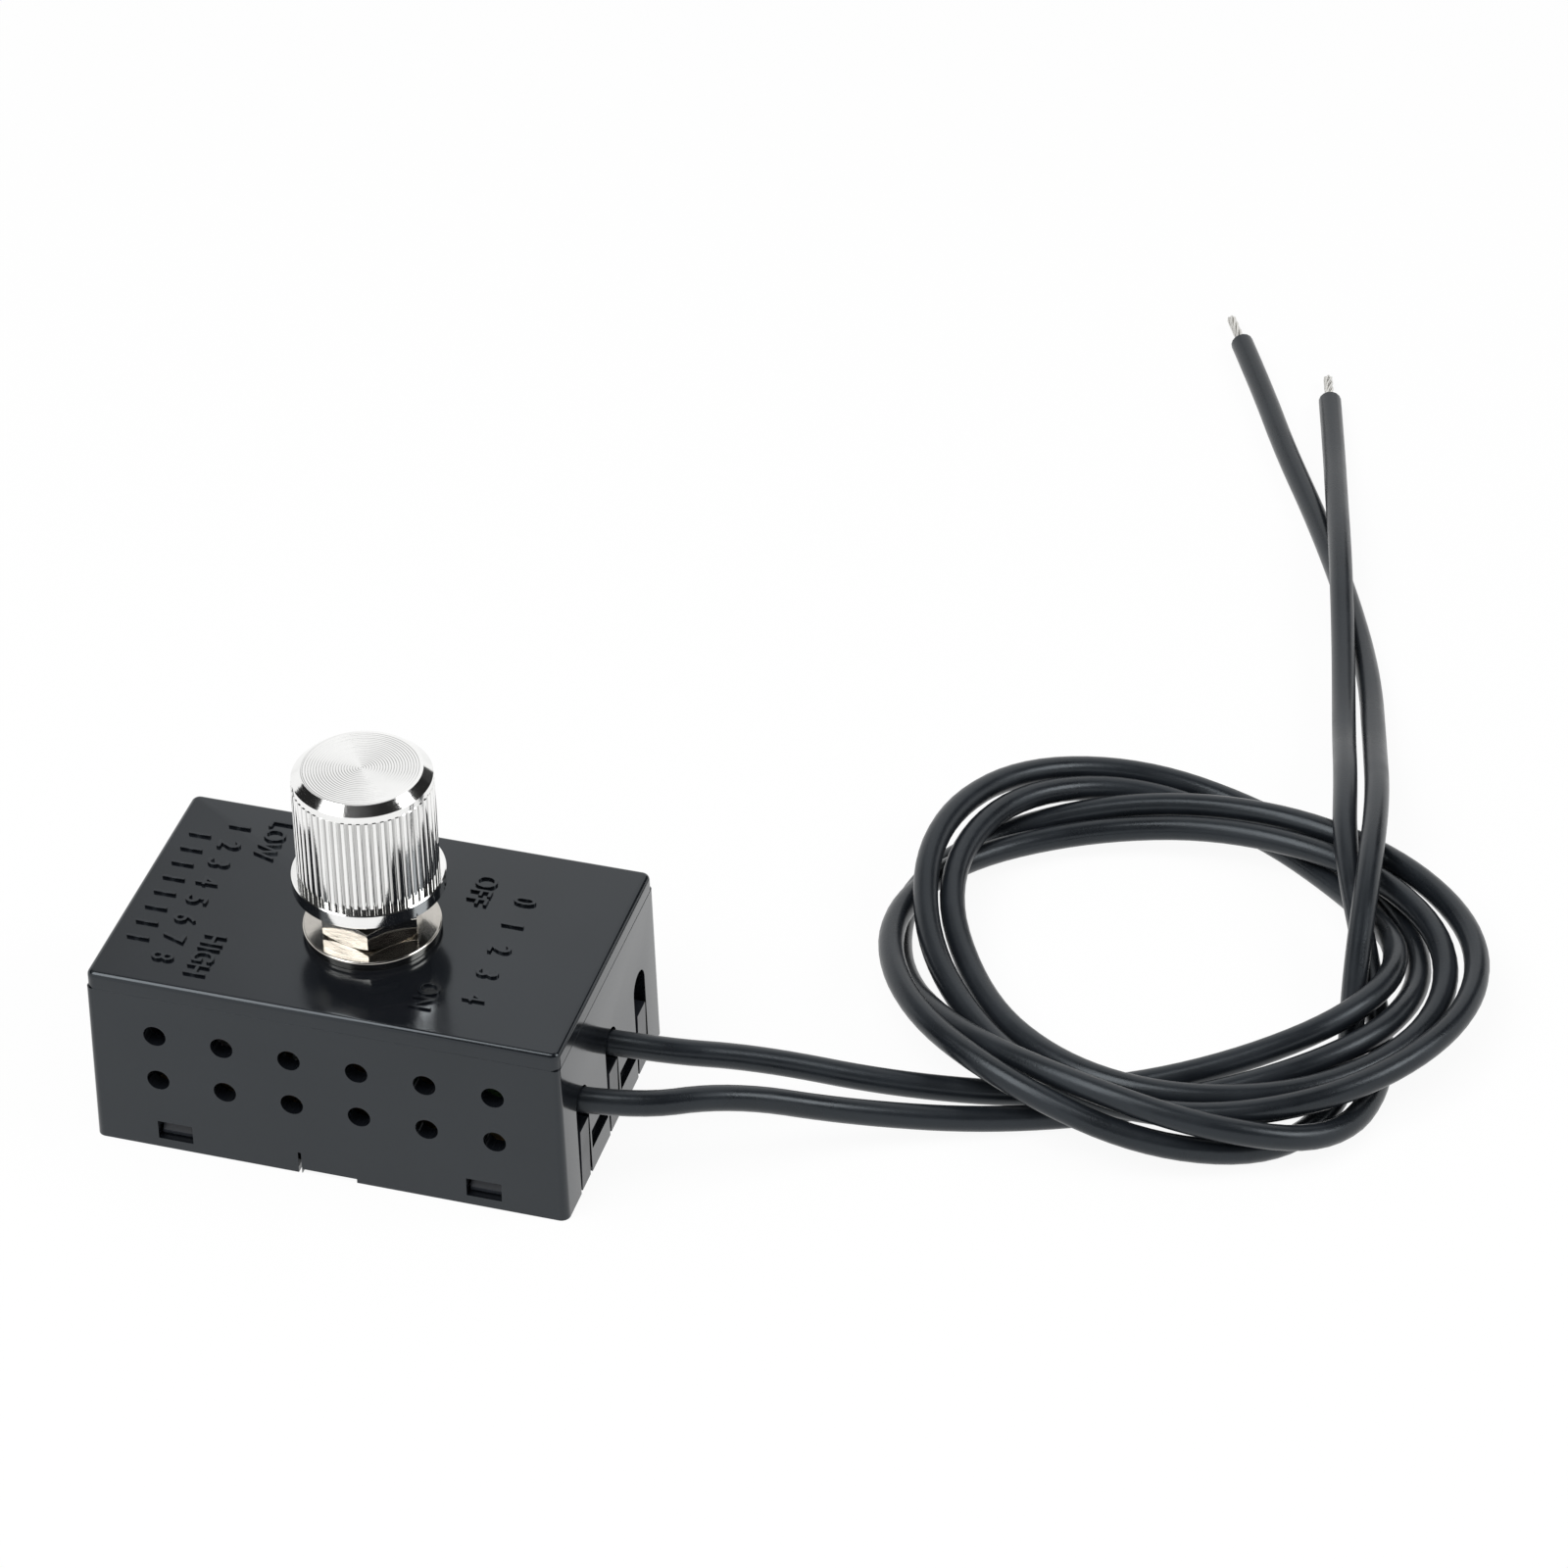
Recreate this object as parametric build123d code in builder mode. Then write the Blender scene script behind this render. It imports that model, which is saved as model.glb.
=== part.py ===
from build123d import *
import os
from math import cos, pi, radians, tan

os.makedirs("parts", exist_ok=True)

# Rotary dimmer switch in a small moulded casing, with two loose hook-up wires.
# Origin: centre of the casing's base. +Z up along the knob, +X towards the wired end.
# All sizes are in millimetres.

# Casing
casing_length = 53.0
casing_width = 33.0
casing_height = 22.0
draft_angle = 1.04
side_wall = 1.8
top_wall = 2.0
corner_radius = 1.0
inner_corner_radius = 0.8
top_edge_radius = 0.6
rim_height = 2.0
rim_step = 0.03

# Vents on the two long sides
vent_diameter = 2.5
vent_pitch = 7.5
vent_columns = 6
vent_row_pitch = 5.9
vent_middle_height = 12.1

# Latch windows on the long sides
latch_spacing = 34.6
latch_window_width = 3.9
latch_window_height = 2.3
latch_window_sill = 1.15

# Pry notch and split line at the foot of the front side
notch_width = 6.1
notch_height = 0.5
split_width = 0.35
split_height = 2.7
split_x = -3.3

# Wired end: three arched wire slots with two latch windows between them
slot_spacing = 9.9
slot_width = 3.8
slot_top = 12.9
end_window_width = 5.3
end_window_height = 2.4
end_window_sill = 2.8

# Base plate that snaps up into the casing
plate_thickness = 1.8
plate_gap = 0.15
latch_gap = 0.15
latch_arm_thickness = 1.2
latch_reach = 1.1
latch_tip_height = 0.45
finger_gap = 0.55
finger_thickness = 1.7
finger_recess = 0.05
finger_height = 8.0
finger_root = 2.6

# Circuit board on four pegs
board_end_gap = 0.25
board_side_gap = 0.35
board_thickness = 1.6
board_height = 4.2
peg_end_inset = 1.6
peg_side_inset = 1.5
peg_radius = 1.7
peg_pin_radius = 1.0
peg_pin_rise = 0.6
peg_fit = 0.05
solder_radius = 0.9
solder_height = 0.7

# Potentiometer, clamped under the top by its bushing
axis_x = 0.6
axis_y = -1.0
bushing_radius = 3.5
bushing_rise = 5.4
bushing_flange_radius = 5.0
bushing_flange_thickness = 0.8
bushing_hole_gap = 0.15
can_radius = 8.25
can_wall = 0.5
seat_gap = 0.03
wafer_thickness = 1.2
wiper_radius = 6.2
wiper_thickness = 1.6
wiper_gap = 0.8
contact_gap = 0.3
contact_width = 1.4
contact_length = 2.2
shaft_radius = 3.0
running_fit = 0.05
shaft_rise = 16.4
shaft_flat_depth = 1.5
shaft_chamfer = 0.4

# Rotary on and off switch under the potentiometer
switch_radius = 7.6
switch_height = 3.6
switch_gap = 0.55
switch_socket_depth = 1.4
switch_socket_gap = 0.2
switch_flat = 6.1
terminal_spacing = 5.0
terminal_width = 1.3
terminal_thickness = 0.4
terminal_inset = 0.9
switch_pin_spacing = 7.0
switch_pin_width = 1.0

# Washers and nut on the bushing
lock_washer_radius = 7.2
lock_washer_thickness = 0.6
flat_washer_radius = 7.4
flat_washer_thickness = 0.6
flat_washer_edge = 0.15
washer_bore_gap = 0.1
nut_across_flats = 10.0
nut_height = 2.8
nut_turn = 45.5
nut_chamfer_angle = 30.0
nut_bore_gap = 0.03

# Knob
knob_lift = 6.3
knob_height = 14.9
skirt_radius = 8.15
skirt_height = 1.7
skirt_edge = 0.12
knob_radius = 7.5
flute_count = 56
flute_radius = 0.26
flute_depth = 0.2
flute_length = 11.5
band_radius = 7.4
top_radius = 6.43
top_chamfer_height = 0.85
knob_shell = 1.4
insert_gap = 0.03
insert_end_wall = 2.0
insert_recess = 0.4
bore_gap = 0.03
bore_end_gap = 0.3

# Parts on the board
sink_length = 12.6
sink_height = 11.0
sink_wall = 1.5
sink_end_gap = 1.3
sink_peg_gap = 1.5
package_width = 10.2
package_height = 4.4
tab_length = 6.0
tab_thickness = 1.3
tab_inset = 0.4
screw_hole_from_end = 2.8
screw_radius = 1.5
screw_hole_gap = 0.15
screw_head_radius = 2.8
screw_head_height = 2.0
screw_tail = 0.9
lead_pitch = 2.54
lead_width = 0.8
lead_thickness = 0.5
lead_reach = 1.0
lead_gap = 0.6
lead_height_in_package = 2.2
film_length = 13.0
film_height = 11.0
film_x = 1.5
film_can_gap = 0.55
film_side_gap = 0.2
film_edge = 0.6
block_length = 7.2
block_width = 2.6
block_height = 6.5
block_x = 14.0
block_y = -5.4
block_edge = 0.4
choke_x = 14.0
choke_side_gap = 2.2
choke_radius = 4.2
choke_core_radius = 2.0
choke_flange = 1.0
choke_height = 9.6
winding_inset = 0.4
winding_gap = 0.03
resistor_radius = 1.15
resistor_waist_radius = 0.95
resistor_length = 6.4
resistor_y = (-4.6, 2.6)
diac_radius = 0.95
diac_length = 3.8
diac_x = 9.9
diac_y = -9.4
axial_lead_radius = 0.28
axial_lead_reach = 1.5
axial_lift = 0.15

# Lugs on the board that the two wires are soldered to
lug_thickness = 0.8
lug_width = 3.2
lug_rise = 7.2
lug_inset = 3.1

# Wires
wire_diameter = 2.8
conductor_diameter = 1.2
stripped_length = 5.0
wire_height = 11.2
wire_straight = 4.5
arc_share = 0.45

# Route of each wire beyond its slot, with x from the wired end: two loose turns, then a straight tail
wire_1_turns = [
    (14.5, 5.5, 8.0), (28.0, 11.0, 2.8), (43.5, 15.0, 1.4), (59.0, 20.5, 3.4), (73.0, 29.5, 6.8),
    (77.0, 43.0, 5.6), (69.0, 56.5, 1.4), (54.0, 67.0, 1.4), (38.5, 68.0, 3.8), (27.0, 58.0, 6.6),
    (24.5, 42.0, 6.2), (33.0, 26.0, 4.0), (44.5, 16.0, 5.0), (58.0, 13.5, 5.4), (72.5, 19.5, 4.8),
    (82.0, 32.5, 4.8), (81.0, 47.5, 5.0), (69.5, 59.0, 4.8), (52.5, 63.0, 4.0), (36.5, 60.0, 2.6),
    (23.5, 49.5, 3.2), (20.0, 34.0, 5.4), (27.0, 18.5, 7.4), (40.5, 9.0, 7.6), (56.5, 6.5, 4.2),
    (70.0, 12.5, 1.4), (74.5, 24.5, 1.4), (72.0, 37.5, 4.4), (70.5, 51.5, 10.0), (68.5, 66.0, 9.0),
    (65.0, 81.5, 4.6), (61.0, 98.0, 2.0), (55.0, 113.5, 1.4), (48.0, 128.5, 1.4), (41.0, 142.0, 1.4),
    (35.5, 154.0, 1.4), (30.5, 164.0, 1.4),
]
wire_2_turns = [
    (14.0, -3.5, 10.2), (25.0, 3.5, 4.4), (39.0, 9.5, 1.4), (54.0, 15.0, 2.0), (68.5, 21.0, 5.0),
    (78.0, 31.5, 5.6), (78.5, 47.0, 2.4), (69.5, 61.0, 1.4), (55.0, 70.0, 1.4), (39.5, 71.5, 3.6),
    (26.5, 63.0, 6.8), (21.5, 48.0, 8.4), (25.0, 32.5, 6.0), (34.5, 20.0, 4.4), (46.5, 11.5, 5.2),
    (61.5, 11.0, 5.2), (76.0, 18.5, 6.2), (85.0, 32.5, 6.4), (84.5, 47.5, 5.4), (75.0, 59.5, 4.8),
    (60.0, 65.5, 5.0), (43.0, 65.0, 4.4), (28.0, 58.5, 2.4), (19.5, 46.5, 1.4), (22.0, 31.5, 1.8),
    (31.5, 18.0, 6.0), (47.0, 10.0, 8.4), (63.0, 8.0, 6.8), (75.5, 14.5, 2.6), (78.0, 28.0, 1.4),
    (72.5, 43.5, 3.2), (66.5, 57.5, 8.2), (64.0, 70.0, 7.8), (61.0, 83.5, 4.0), (57.5, 99.5, 3.6),
    (53.5, 116.0, 5.0), (50.0, 130.0, 3.8), (47.0, 142.5, 2.0), (44.0, 154.0, 1.4),
]

# Places worked out from the sizes above
draft_slope = tan(radians(draft_angle))
top_inside = casing_height - top_wall
board_top = board_height + board_thickness
half_length = casing_length / 2
half_width = casing_width / 2
inner_half_length = half_length - side_wall
inner_half_width = half_width - side_wall
board_length = 2 * (inner_half_length - plate_gap - latch_arm_thickness - board_end_gap)
board_width = 2 * (inner_half_width - plate_gap - latch_arm_thickness - board_side_gap)
peg_spacing_x = board_length - 2 * peg_end_inset
peg_spacing_y = board_width - 2 * peg_side_inset
switch_bottom = board_top + axial_lift + 2 * resistor_radius + switch_gap
can_bottom = switch_bottom + switch_height
can_height = top_inside - can_bottom
wafer_top = can_bottom + wafer_thickness
wiper_bottom = wafer_top + wiper_gap
socket_bottom = can_bottom - switch_socket_depth
shaft_bottom = socket_bottom + contact_gap
shaft_top = casing_height + shaft_rise
bushing_top = casing_height + bushing_rise
lock_washer_top = casing_height + lock_washer_thickness
flat_washer_top = lock_washer_top + flat_washer_thickness
knob_bottom = casing_height + knob_lift
knob_top = knob_bottom + knob_height
slot_places = (-slot_spacing, 0.0, slot_spacing)
terminal_edge = can_radius - can_wall - seat_gap
terminal_foot_y = terminal_inset - board_width / 2
sink_end_x = sink_end_gap - inner_half_length
sink_width = peg_spacing_y - 2 * (peg_pin_radius + sink_peg_gap)
film_near_y = axis_y + can_radius + film_can_gap
film_far_y = board_width / 2 - film_side_gap
choke_y = board_width / 2 - choke_side_gap - choke_radius
lug_face_x = board_length / 2 - lug_inset
pot_plan = Plane.XY.shift_origin((axis_x, axis_y))


def wall_inset(height):
    """How far a drafted wall has come in at a height."""
    return height * draft_slope


def upright_plane(origin):
    """A plane through a point that stands along X, to draw a half section on."""
    return Plane(origin=origin, x_dir=(1, 0, 0), z_dir=(0, -1, 0))


# Casing: a drafted tray turned over, with a stepped rim, vents, latch windows and arched wire slots
rim_inset = wall_inset(casing_height - rim_height) + rim_step
with BuildPart() as casing:
    with BuildSketch():
        RectangleRounded(casing_length, casing_width, corner_radius)
    extrude(amount=casing_height - rim_height, taper=draft_angle)
    with BuildSketch(Plane.XY.offset(casing_height - rim_height)):
        RectangleRounded(
            casing_length - 2 * rim_inset,
            casing_width - 2 * rim_inset,
            corner_radius - rim_step,
        )
    extrude(amount=rim_height, taper=draft_angle)
    fillet(casing.faces().sort_by(Axis.Z)[-1].edges(), radius=top_edge_radius)
    with BuildSketch():
        RectangleRounded(2 * inner_half_length, 2 * inner_half_width, inner_corner_radius)
    extrude(amount=top_inside, taper=draft_angle, mode=Mode.SUBTRACT)
    with BuildSketch(Plane.XZ):
        with Locations((0, vent_middle_height)):
            with GridLocations(vent_pitch, vent_row_pitch, vent_columns, 2):
                Circle(vent_diameter / 2)
        with Locations((0, latch_window_sill)):
            with GridLocations(latch_spacing, 1, 2, 1):
                Rectangle(latch_window_width, latch_window_height, align=(Align.CENTER, Align.MIN))
    extrude(amount=casing_width, both=True, mode=Mode.SUBTRACT)
    with BuildSketch(Plane.XZ.offset(inner_half_width - side_wall)):
        Rectangle(notch_width, notch_height, align=(Align.CENTER, Align.MIN))
        with Locations((split_x, 0)):
            Rectangle(split_width, split_height, align=(Align.CENTER, Align.MIN))
    extrude(amount=3 * side_wall, mode=Mode.SUBTRACT)
    with BuildSketch(Plane.YZ.offset(inner_half_length - side_wall)):
        with Locations(*[(y, 0) for y in slot_places]):
            Rectangle(slot_width, slot_top - slot_width / 2, align=(Align.CENTER, Align.MIN))
        with Locations(*[(y, slot_top - slot_width / 2) for y in slot_places]):
            Circle(slot_width / 2)
        with Locations(
            (-slot_spacing / 2, end_window_sill),
            (slot_spacing / 2, end_window_sill),
        ):
            Rectangle(end_window_width, end_window_height, align=(Align.CENTER, Align.MIN))
    extrude(amount=3 * side_wall, mode=Mode.SUBTRACT)
    with BuildSketch(pot_plan.offset(top_inside - top_wall)):
        Circle(bushing_radius + bushing_hole_gap)
    extrude(amount=3 * top_wall, mode=Mode.SUBTRACT)


def latch_outline(wall, sill, window):
    """A snap arm seen from its end: a flat catch below and a lead-in slope above."""
    catch = sill + latch_gap
    top = sill + window - latch_gap
    root = wall - plate_gap
    with BuildLine() as outline:
        Polyline(
            (root - latch_arm_thickness, plate_thickness / 2),
            (root, plate_thickness / 2),
            (root, catch),
            (root + latch_reach, catch),
            (root + latch_reach, catch + latch_tip_height),
            (root, top),
            (root - latch_arm_thickness, top),
            close=True,
        )
    return outline.edges()


# Base plate: flush floor with snap arms, pegs for the board and a finger under each wire
with BuildPart() as base_plate:
    with BuildSketch():
        RectangleRounded(
            2 * (inner_half_length - plate_gap),
            2 * (inner_half_width - plate_gap),
            inner_corner_radius,
        )
    extrude(amount=plate_thickness)
    with GridLocations(peg_spacing_x, peg_spacing_y, 2, 2):
        Cylinder(peg_radius, board_height, align=(Align.CENTER, Align.CENTER, Align.MIN))
        Cylinder(peg_pin_radius, board_top + peg_pin_rise, align=(Align.CENTER, Align.CENTER, Align.MIN))
    for x in (-latch_spacing / 2, latch_spacing / 2):
        with BuildSketch(Plane.YZ.offset(x)):
            wall = inner_half_width - wall_inset(latch_window_sill)
            make_face(latch_outline(wall, latch_window_sill, latch_window_height))
        extrude(amount=latch_window_width / 2 - latch_gap, both=True)
        mirror(about=Plane.XZ)
    for y in (-slot_spacing / 2, slot_spacing / 2):
        with BuildSketch(Plane.XZ.offset(-y)):
            wall = inner_half_length - wall_inset(end_window_sill)
            make_face(latch_outline(wall, end_window_sill, end_window_height))
        extrude(amount=end_window_width / 2 - latch_gap, both=True)
    finger_face = half_length - finger_recess
    for y in slot_places:
        with BuildSketch(Plane.XZ.offset(-y)):
            with BuildLine():
                Polyline(
                    (finger_face - finger_thickness - finger_root, 0),
                    (finger_face, 0),
                    (finger_face, finger_height),
                    (finger_face - finger_thickness, finger_height),
                    (finger_face - finger_thickness, plate_thickness + finger_root),
                    (finger_face - finger_thickness - finger_root, plate_thickness),
                    close=True,
                )
            make_face()
        extrude(amount=slot_width / 2 - finger_gap, both=True)

# Circuit board
with BuildPart() as circuit_board:
    with BuildSketch(Plane.XY.offset(board_height)):
        Rectangle(board_length, board_width)
        with GridLocations(peg_spacing_x, peg_spacing_y, 2, 2):
            Circle(peg_pin_radius + peg_fit, mode=Mode.SUBTRACT)
    extrude(amount=board_thickness)

# Lugs that stand on the board, one for each wire
lug_places = ((lug_face_x - lug_thickness / 2, 0.0), (lug_face_x - lug_thickness / 2, -slot_spacing))
with BuildPart() as lead_lugs:
    with BuildSketch(Plane.XY.offset(board_top)):
        with Locations(*lug_places):
            Rectangle(lug_thickness, lug_width)
    extrude(amount=lug_rise)
    fillet(lead_lugs.edges().filter_by(Axis.X).group_by(Axis.Z)[-1], radius=lug_width / 4)

# Potentiometer can, open below, flat against the inside of the top
with BuildPart() as pot_cover:
    with BuildSketch(pot_plan.offset(can_bottom)):
        Circle(can_radius)
    extrude(amount=can_height)
    with BuildSketch(pot_plan.offset(can_bottom)):
        Circle(can_radius - can_wall)
    extrude(amount=can_height - can_wall, mode=Mode.SUBTRACT)
    with BuildSketch(pot_plan.offset(can_bottom)):
        Circle(bushing_radius + seat_gap)
    extrude(amount=can_height, mode=Mode.SUBTRACT)

# Threaded bushing with its flange inside the can
with BuildPart() as pot_bushing:
    with BuildSketch(pot_plan.offset(top_inside - can_wall - bushing_flange_thickness)):
        Circle(bushing_flange_radius)
    extrude(amount=bushing_flange_thickness)
    with BuildSketch(pot_plan.offset(top_inside - can_wall - bushing_flange_thickness)):
        Circle(bushing_radius)
    extrude(amount=bushing_top - top_inside + can_wall + bushing_flange_thickness)
    chamfer(pot_bushing.edges().group_by(Axis.Z)[-1], length=shaft_chamfer)
    with BuildSketch(pot_plan.offset(can_bottom)):
        Circle(shaft_radius + running_fit)
    extrude(amount=casing_height, mode=Mode.SUBTRACT)

# Wafer that carries the resistance track and closes the can
with BuildPart() as pot_wafer:
    with BuildSketch(pot_plan.offset(can_bottom)):
        Circle(can_radius - can_wall - seat_gap)
        Circle(shaft_radius + switch_socket_gap, mode=Mode.SUBTRACT)
    extrude(amount=wafer_thickness)

# Wiper on the shaft, with two contact feet just above the track
with BuildPart() as pot_wiper:
    with BuildSketch(pot_plan.offset(wiper_bottom)):
        Circle(wiper_radius)
        Circle(shaft_radius + seat_gap, mode=Mode.SUBTRACT)
    extrude(amount=wiper_thickness)
    with BuildSketch(pot_plan.offset(wafer_top + contact_gap)):
        with PolarLocations(wiper_radius - contact_length / 2, 2):
            Rectangle(contact_length, contact_width)
    extrude(amount=wiper_gap - contact_gap)

# Shaft with a flat for the knob
with BuildPart() as pot_shaft:
    with BuildSketch(pot_plan.offset(shaft_bottom)):
        Circle(shaft_radius)
    extrude(amount=shaft_top - shaft_bottom)
    chamfer(pot_shaft.edges().group_by(Axis.Z)[-1], length=shaft_chamfer)
    with BuildSketch(pot_plan.offset(knob_bottom)):
        with Locations((0, shaft_radius - shaft_flat_depth)):
            Rectangle(3 * shaft_radius, 2 * shaft_flat_depth, align=(Align.CENTER, Align.MIN))
    extrude(amount=knob_height, mode=Mode.SUBTRACT)

# Switch block below the can, cut flat where the terminals pass, with a socket for the shaft
with BuildPart() as switch_block:
    with BuildSketch(pot_plan.offset(switch_bottom)):
        Circle(switch_radius)
        with Locations((0, -switch_flat)):
            Rectangle(
                3 * switch_radius, 3 * switch_radius, align=(Align.CENTER, Align.MAX), mode=Mode.SUBTRACT
            )
    extrude(amount=switch_height)
    with BuildSketch(pot_plan.offset(socket_bottom)):
        Circle(shaft_radius + switch_socket_gap)
    extrude(amount=switch_socket_depth, mode=Mode.SUBTRACT)

# Three potentiometer terminals, out under the wafer and down to the board
with BuildPart() as pot_terminals:
    for x in (-terminal_spacing, 0.0, terminal_spacing):
        with BuildSketch(Plane.YZ.offset(axis_x + x)):
            with BuildLine():
                Polyline(
                    (axis_y - switch_flat - seat_gap, can_bottom),
                    (terminal_foot_y + terminal_thickness, can_bottom),
                    (terminal_foot_y, can_bottom - terminal_thickness),
                    (terminal_foot_y, board_top),
                    (terminal_foot_y + terminal_thickness, board_top),
                    (terminal_foot_y + terminal_thickness, can_bottom - terminal_thickness),
                    (axis_y - switch_flat - seat_gap, can_bottom - terminal_thickness),
                    close=True,
                )
            make_face()
        extrude(amount=terminal_width / 2, both=True)

# Two pins that stand the switch block on the board
with BuildPart() as switch_pins:
    with BuildSketch(pot_plan.offset(board_top)):
        with GridLocations(switch_pin_spacing, 1, 2, 1):
            Rectangle(switch_pin_width, terminal_thickness)
    extrude(amount=switch_bottom - board_top)

# Washers and hexagon nut on the bushing, above the casing's top
with BuildPart() as lock_washer:
    with BuildSketch(pot_plan.offset(casing_height)):
        Circle(lock_washer_radius)
        Circle(bushing_radius + washer_bore_gap, mode=Mode.SUBTRACT)
    extrude(amount=lock_washer_thickness)

with BuildPart() as flat_washer:
    with BuildSketch(pot_plan.offset(lock_washer_top)):
        Circle(flat_washer_radius)
    extrude(amount=flat_washer_thickness)
    chamfer(flat_washer.edges().group_by(Axis.Z)[-1], length=flat_washer_edge)
    with BuildSketch(pot_plan.offset(lock_washer_top)):
        Circle(bushing_radius + washer_bore_gap)
    extrude(amount=flat_washer_thickness, mode=Mode.SUBTRACT)

nut_corner = nut_across_flats / 2 / cos(radians(30))
nut_chamfer_drop = (nut_corner - nut_across_flats / 2) * tan(radians(nut_chamfer_angle))
with BuildPart() as hex_nut:
    with BuildSketch(pot_plan.offset(flat_washer_top)):
        RegularPolygon(nut_corner, 6, rotation=nut_turn)
    extrude(amount=nut_height)
    with BuildSketch(upright_plane((axis_x, axis_y, flat_washer_top))):
        with BuildLine():
            Polyline(
                (0, 0),
                (nut_across_flats / 2, 0),
                (nut_corner, nut_chamfer_drop),
                (nut_corner, nut_height - nut_chamfer_drop),
                (nut_across_flats / 2, nut_height),
                (0, nut_height),
                close=True,
            )
        make_face()
    revolve(axis=Axis((axis_x, axis_y, 0), (0, 0, 1)), mode=Mode.INTERSECT)
    with BuildSketch(pot_plan.offset(flat_washer_top)):
        Circle(bushing_radius + nut_bore_gap)
    extrude(amount=nut_height, mode=Mode.SUBTRACT)

# Knob: fluted barrel on a smooth skirt, with a plain band and a chamfer round the turned top
flute_top = knob_bottom + skirt_height + flute_length
insert_radius = knob_radius - knob_shell
bore_end = shaft_top + bore_end_gap
insert_top = bore_end + insert_end_wall
with BuildPart() as knob:
    with BuildSketch(pot_plan.offset(knob_bottom + skirt_height)):
        Circle(knob_radius)
        with PolarLocations(knob_radius + flute_radius - flute_depth, flute_count):
            Circle(flute_radius, mode=Mode.SUBTRACT)
    extrude(amount=flute_length)
    with BuildSketch(upright_plane((axis_x, axis_y, 0))):
        with BuildLine():
            Polyline(
                (0, flute_top),
                (band_radius, flute_top),
                (band_radius, knob_top - top_chamfer_height),
                (top_radius, knob_top),
                (0, knob_top),
                close=True,
            )
        make_face()
        with BuildLine():
            Polyline(
                (0, knob_bottom),
                (skirt_radius - skirt_edge, knob_bottom),
                (skirt_radius, knob_bottom + skirt_edge),
                (skirt_radius, knob_bottom + skirt_height - skirt_edge),
                (skirt_radius - skirt_edge, knob_bottom + skirt_height),
                (0, knob_bottom + skirt_height),
                close=True,
            )
        make_face()
    revolve(axis=Axis((axis_x, axis_y, 0), (0, 0, 1)))
    with BuildSketch(pot_plan.offset(knob_bottom)):
        Circle(insert_radius)
    extrude(amount=insert_top - knob_bottom, mode=Mode.SUBTRACT)

# Moulded insert in the knob, with a bore shaped like the flatted shaft
with BuildPart() as knob_insert:
    with BuildSketch(pot_plan.offset(knob_bottom + insert_recess)):
        Circle(insert_radius - insert_gap)
    extrude(amount=insert_top - knob_bottom - insert_recess)
    with BuildSketch(pot_plan.offset(knob_bottom + insert_recess)):
        Circle(shaft_radius + bore_gap)
        with Locations((0, shaft_radius - shaft_flat_depth + bore_gap)):
            Rectangle(
                3 * shaft_radius, 2 * shaft_flat_depth, align=(Align.CENTER, Align.MIN), mode=Mode.SUBTRACT
            )
    extrude(amount=bore_end - knob_bottom - insert_recess, mode=Mode.SUBTRACT)

# Heat sink: a channel that stands on the board
with BuildPart() as heat_sink:
    with BuildSketch(Plane.YZ.offset(sink_end_x)):
        with BuildLine():
            Polyline(
                (-sink_width / 2, board_top),
                (sink_width / 2, board_top),
                (sink_width / 2, board_top + sink_height),
                (sink_width / 2 - sink_wall, board_top + sink_height),
                (sink_width / 2 - sink_wall, board_top + sink_wall),
                (-sink_width / 2 + sink_wall, board_top + sink_wall),
                (-sink_width / 2 + sink_wall, board_top + sink_height),
                (-sink_width / 2, board_top + sink_height),
                close=True,
            )
        make_face()
    extrude(amount=sink_length)
    with Locations((sink_end_x + tab_inset + screw_hole_from_end, 0, board_top + sink_wall)):
        Hole(screw_radius + screw_hole_gap, depth=sink_wall)

# Triac: tab screwed to the heat sink, moulded body and three leads down to the board
tab_start = sink_end_x + tab_inset
package_start = tab_start + tab_length
package_end = axis_x - switch_radius - lead_gap - lead_reach
package_length = package_end - package_start
tab_bottom = board_top + sink_wall
lead_height = tab_bottom + lead_height_in_package
with BuildPart() as triac:
    with BuildSketch(Plane.XY.offset(tab_bottom)):
        with Locations((tab_start, 0)):
            Rectangle(tab_length, package_width, align=(Align.MIN, Align.CENTER))
        with Locations((tab_start + screw_hole_from_end, 0)):
            Circle(screw_radius + screw_hole_gap, mode=Mode.SUBTRACT)
    extrude(amount=tab_thickness)
    with BuildSketch(Plane.XY.offset(tab_bottom)):
        with Locations((package_start, 0)):
            Rectangle(package_length, package_width, align=(Align.MIN, Align.CENTER))
    extrude(amount=package_height)
    for y in (-lead_pitch, 0.0, lead_pitch):
        with BuildSketch(Plane.XZ.offset(-y)):
            with BuildLine():
                Polyline(
                    (package_end - lead_thickness, lead_height),
                    (package_end + lead_reach, lead_height),
                    (package_end + lead_reach, board_top),
                    (package_end + lead_reach - lead_thickness, board_top),
                    (package_end + lead_reach - lead_thickness, lead_height - lead_thickness),
                    (package_end - lead_thickness, lead_height - lead_thickness),
                    close=True,
                )
            make_face()
        extrude(amount=lead_width / 2, both=True)

with BuildPart() as triac_screw:
    screw_plan = Plane.XY.shift_origin((tab_start + screw_hole_from_end, 0))
    with BuildSketch(screw_plan.offset(tab_bottom + tab_thickness)):
        Circle(screw_head_radius)
    extrude(amount=screw_head_height)
    fillet(triac_screw.edges().group_by(Axis.Z)[-1], radius=screw_head_height / 2)
    with BuildSketch(screw_plan.offset(board_top + sink_wall - screw_tail)):
        Circle(screw_radius)
    extrude(amount=tab_thickness + screw_tail)

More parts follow.
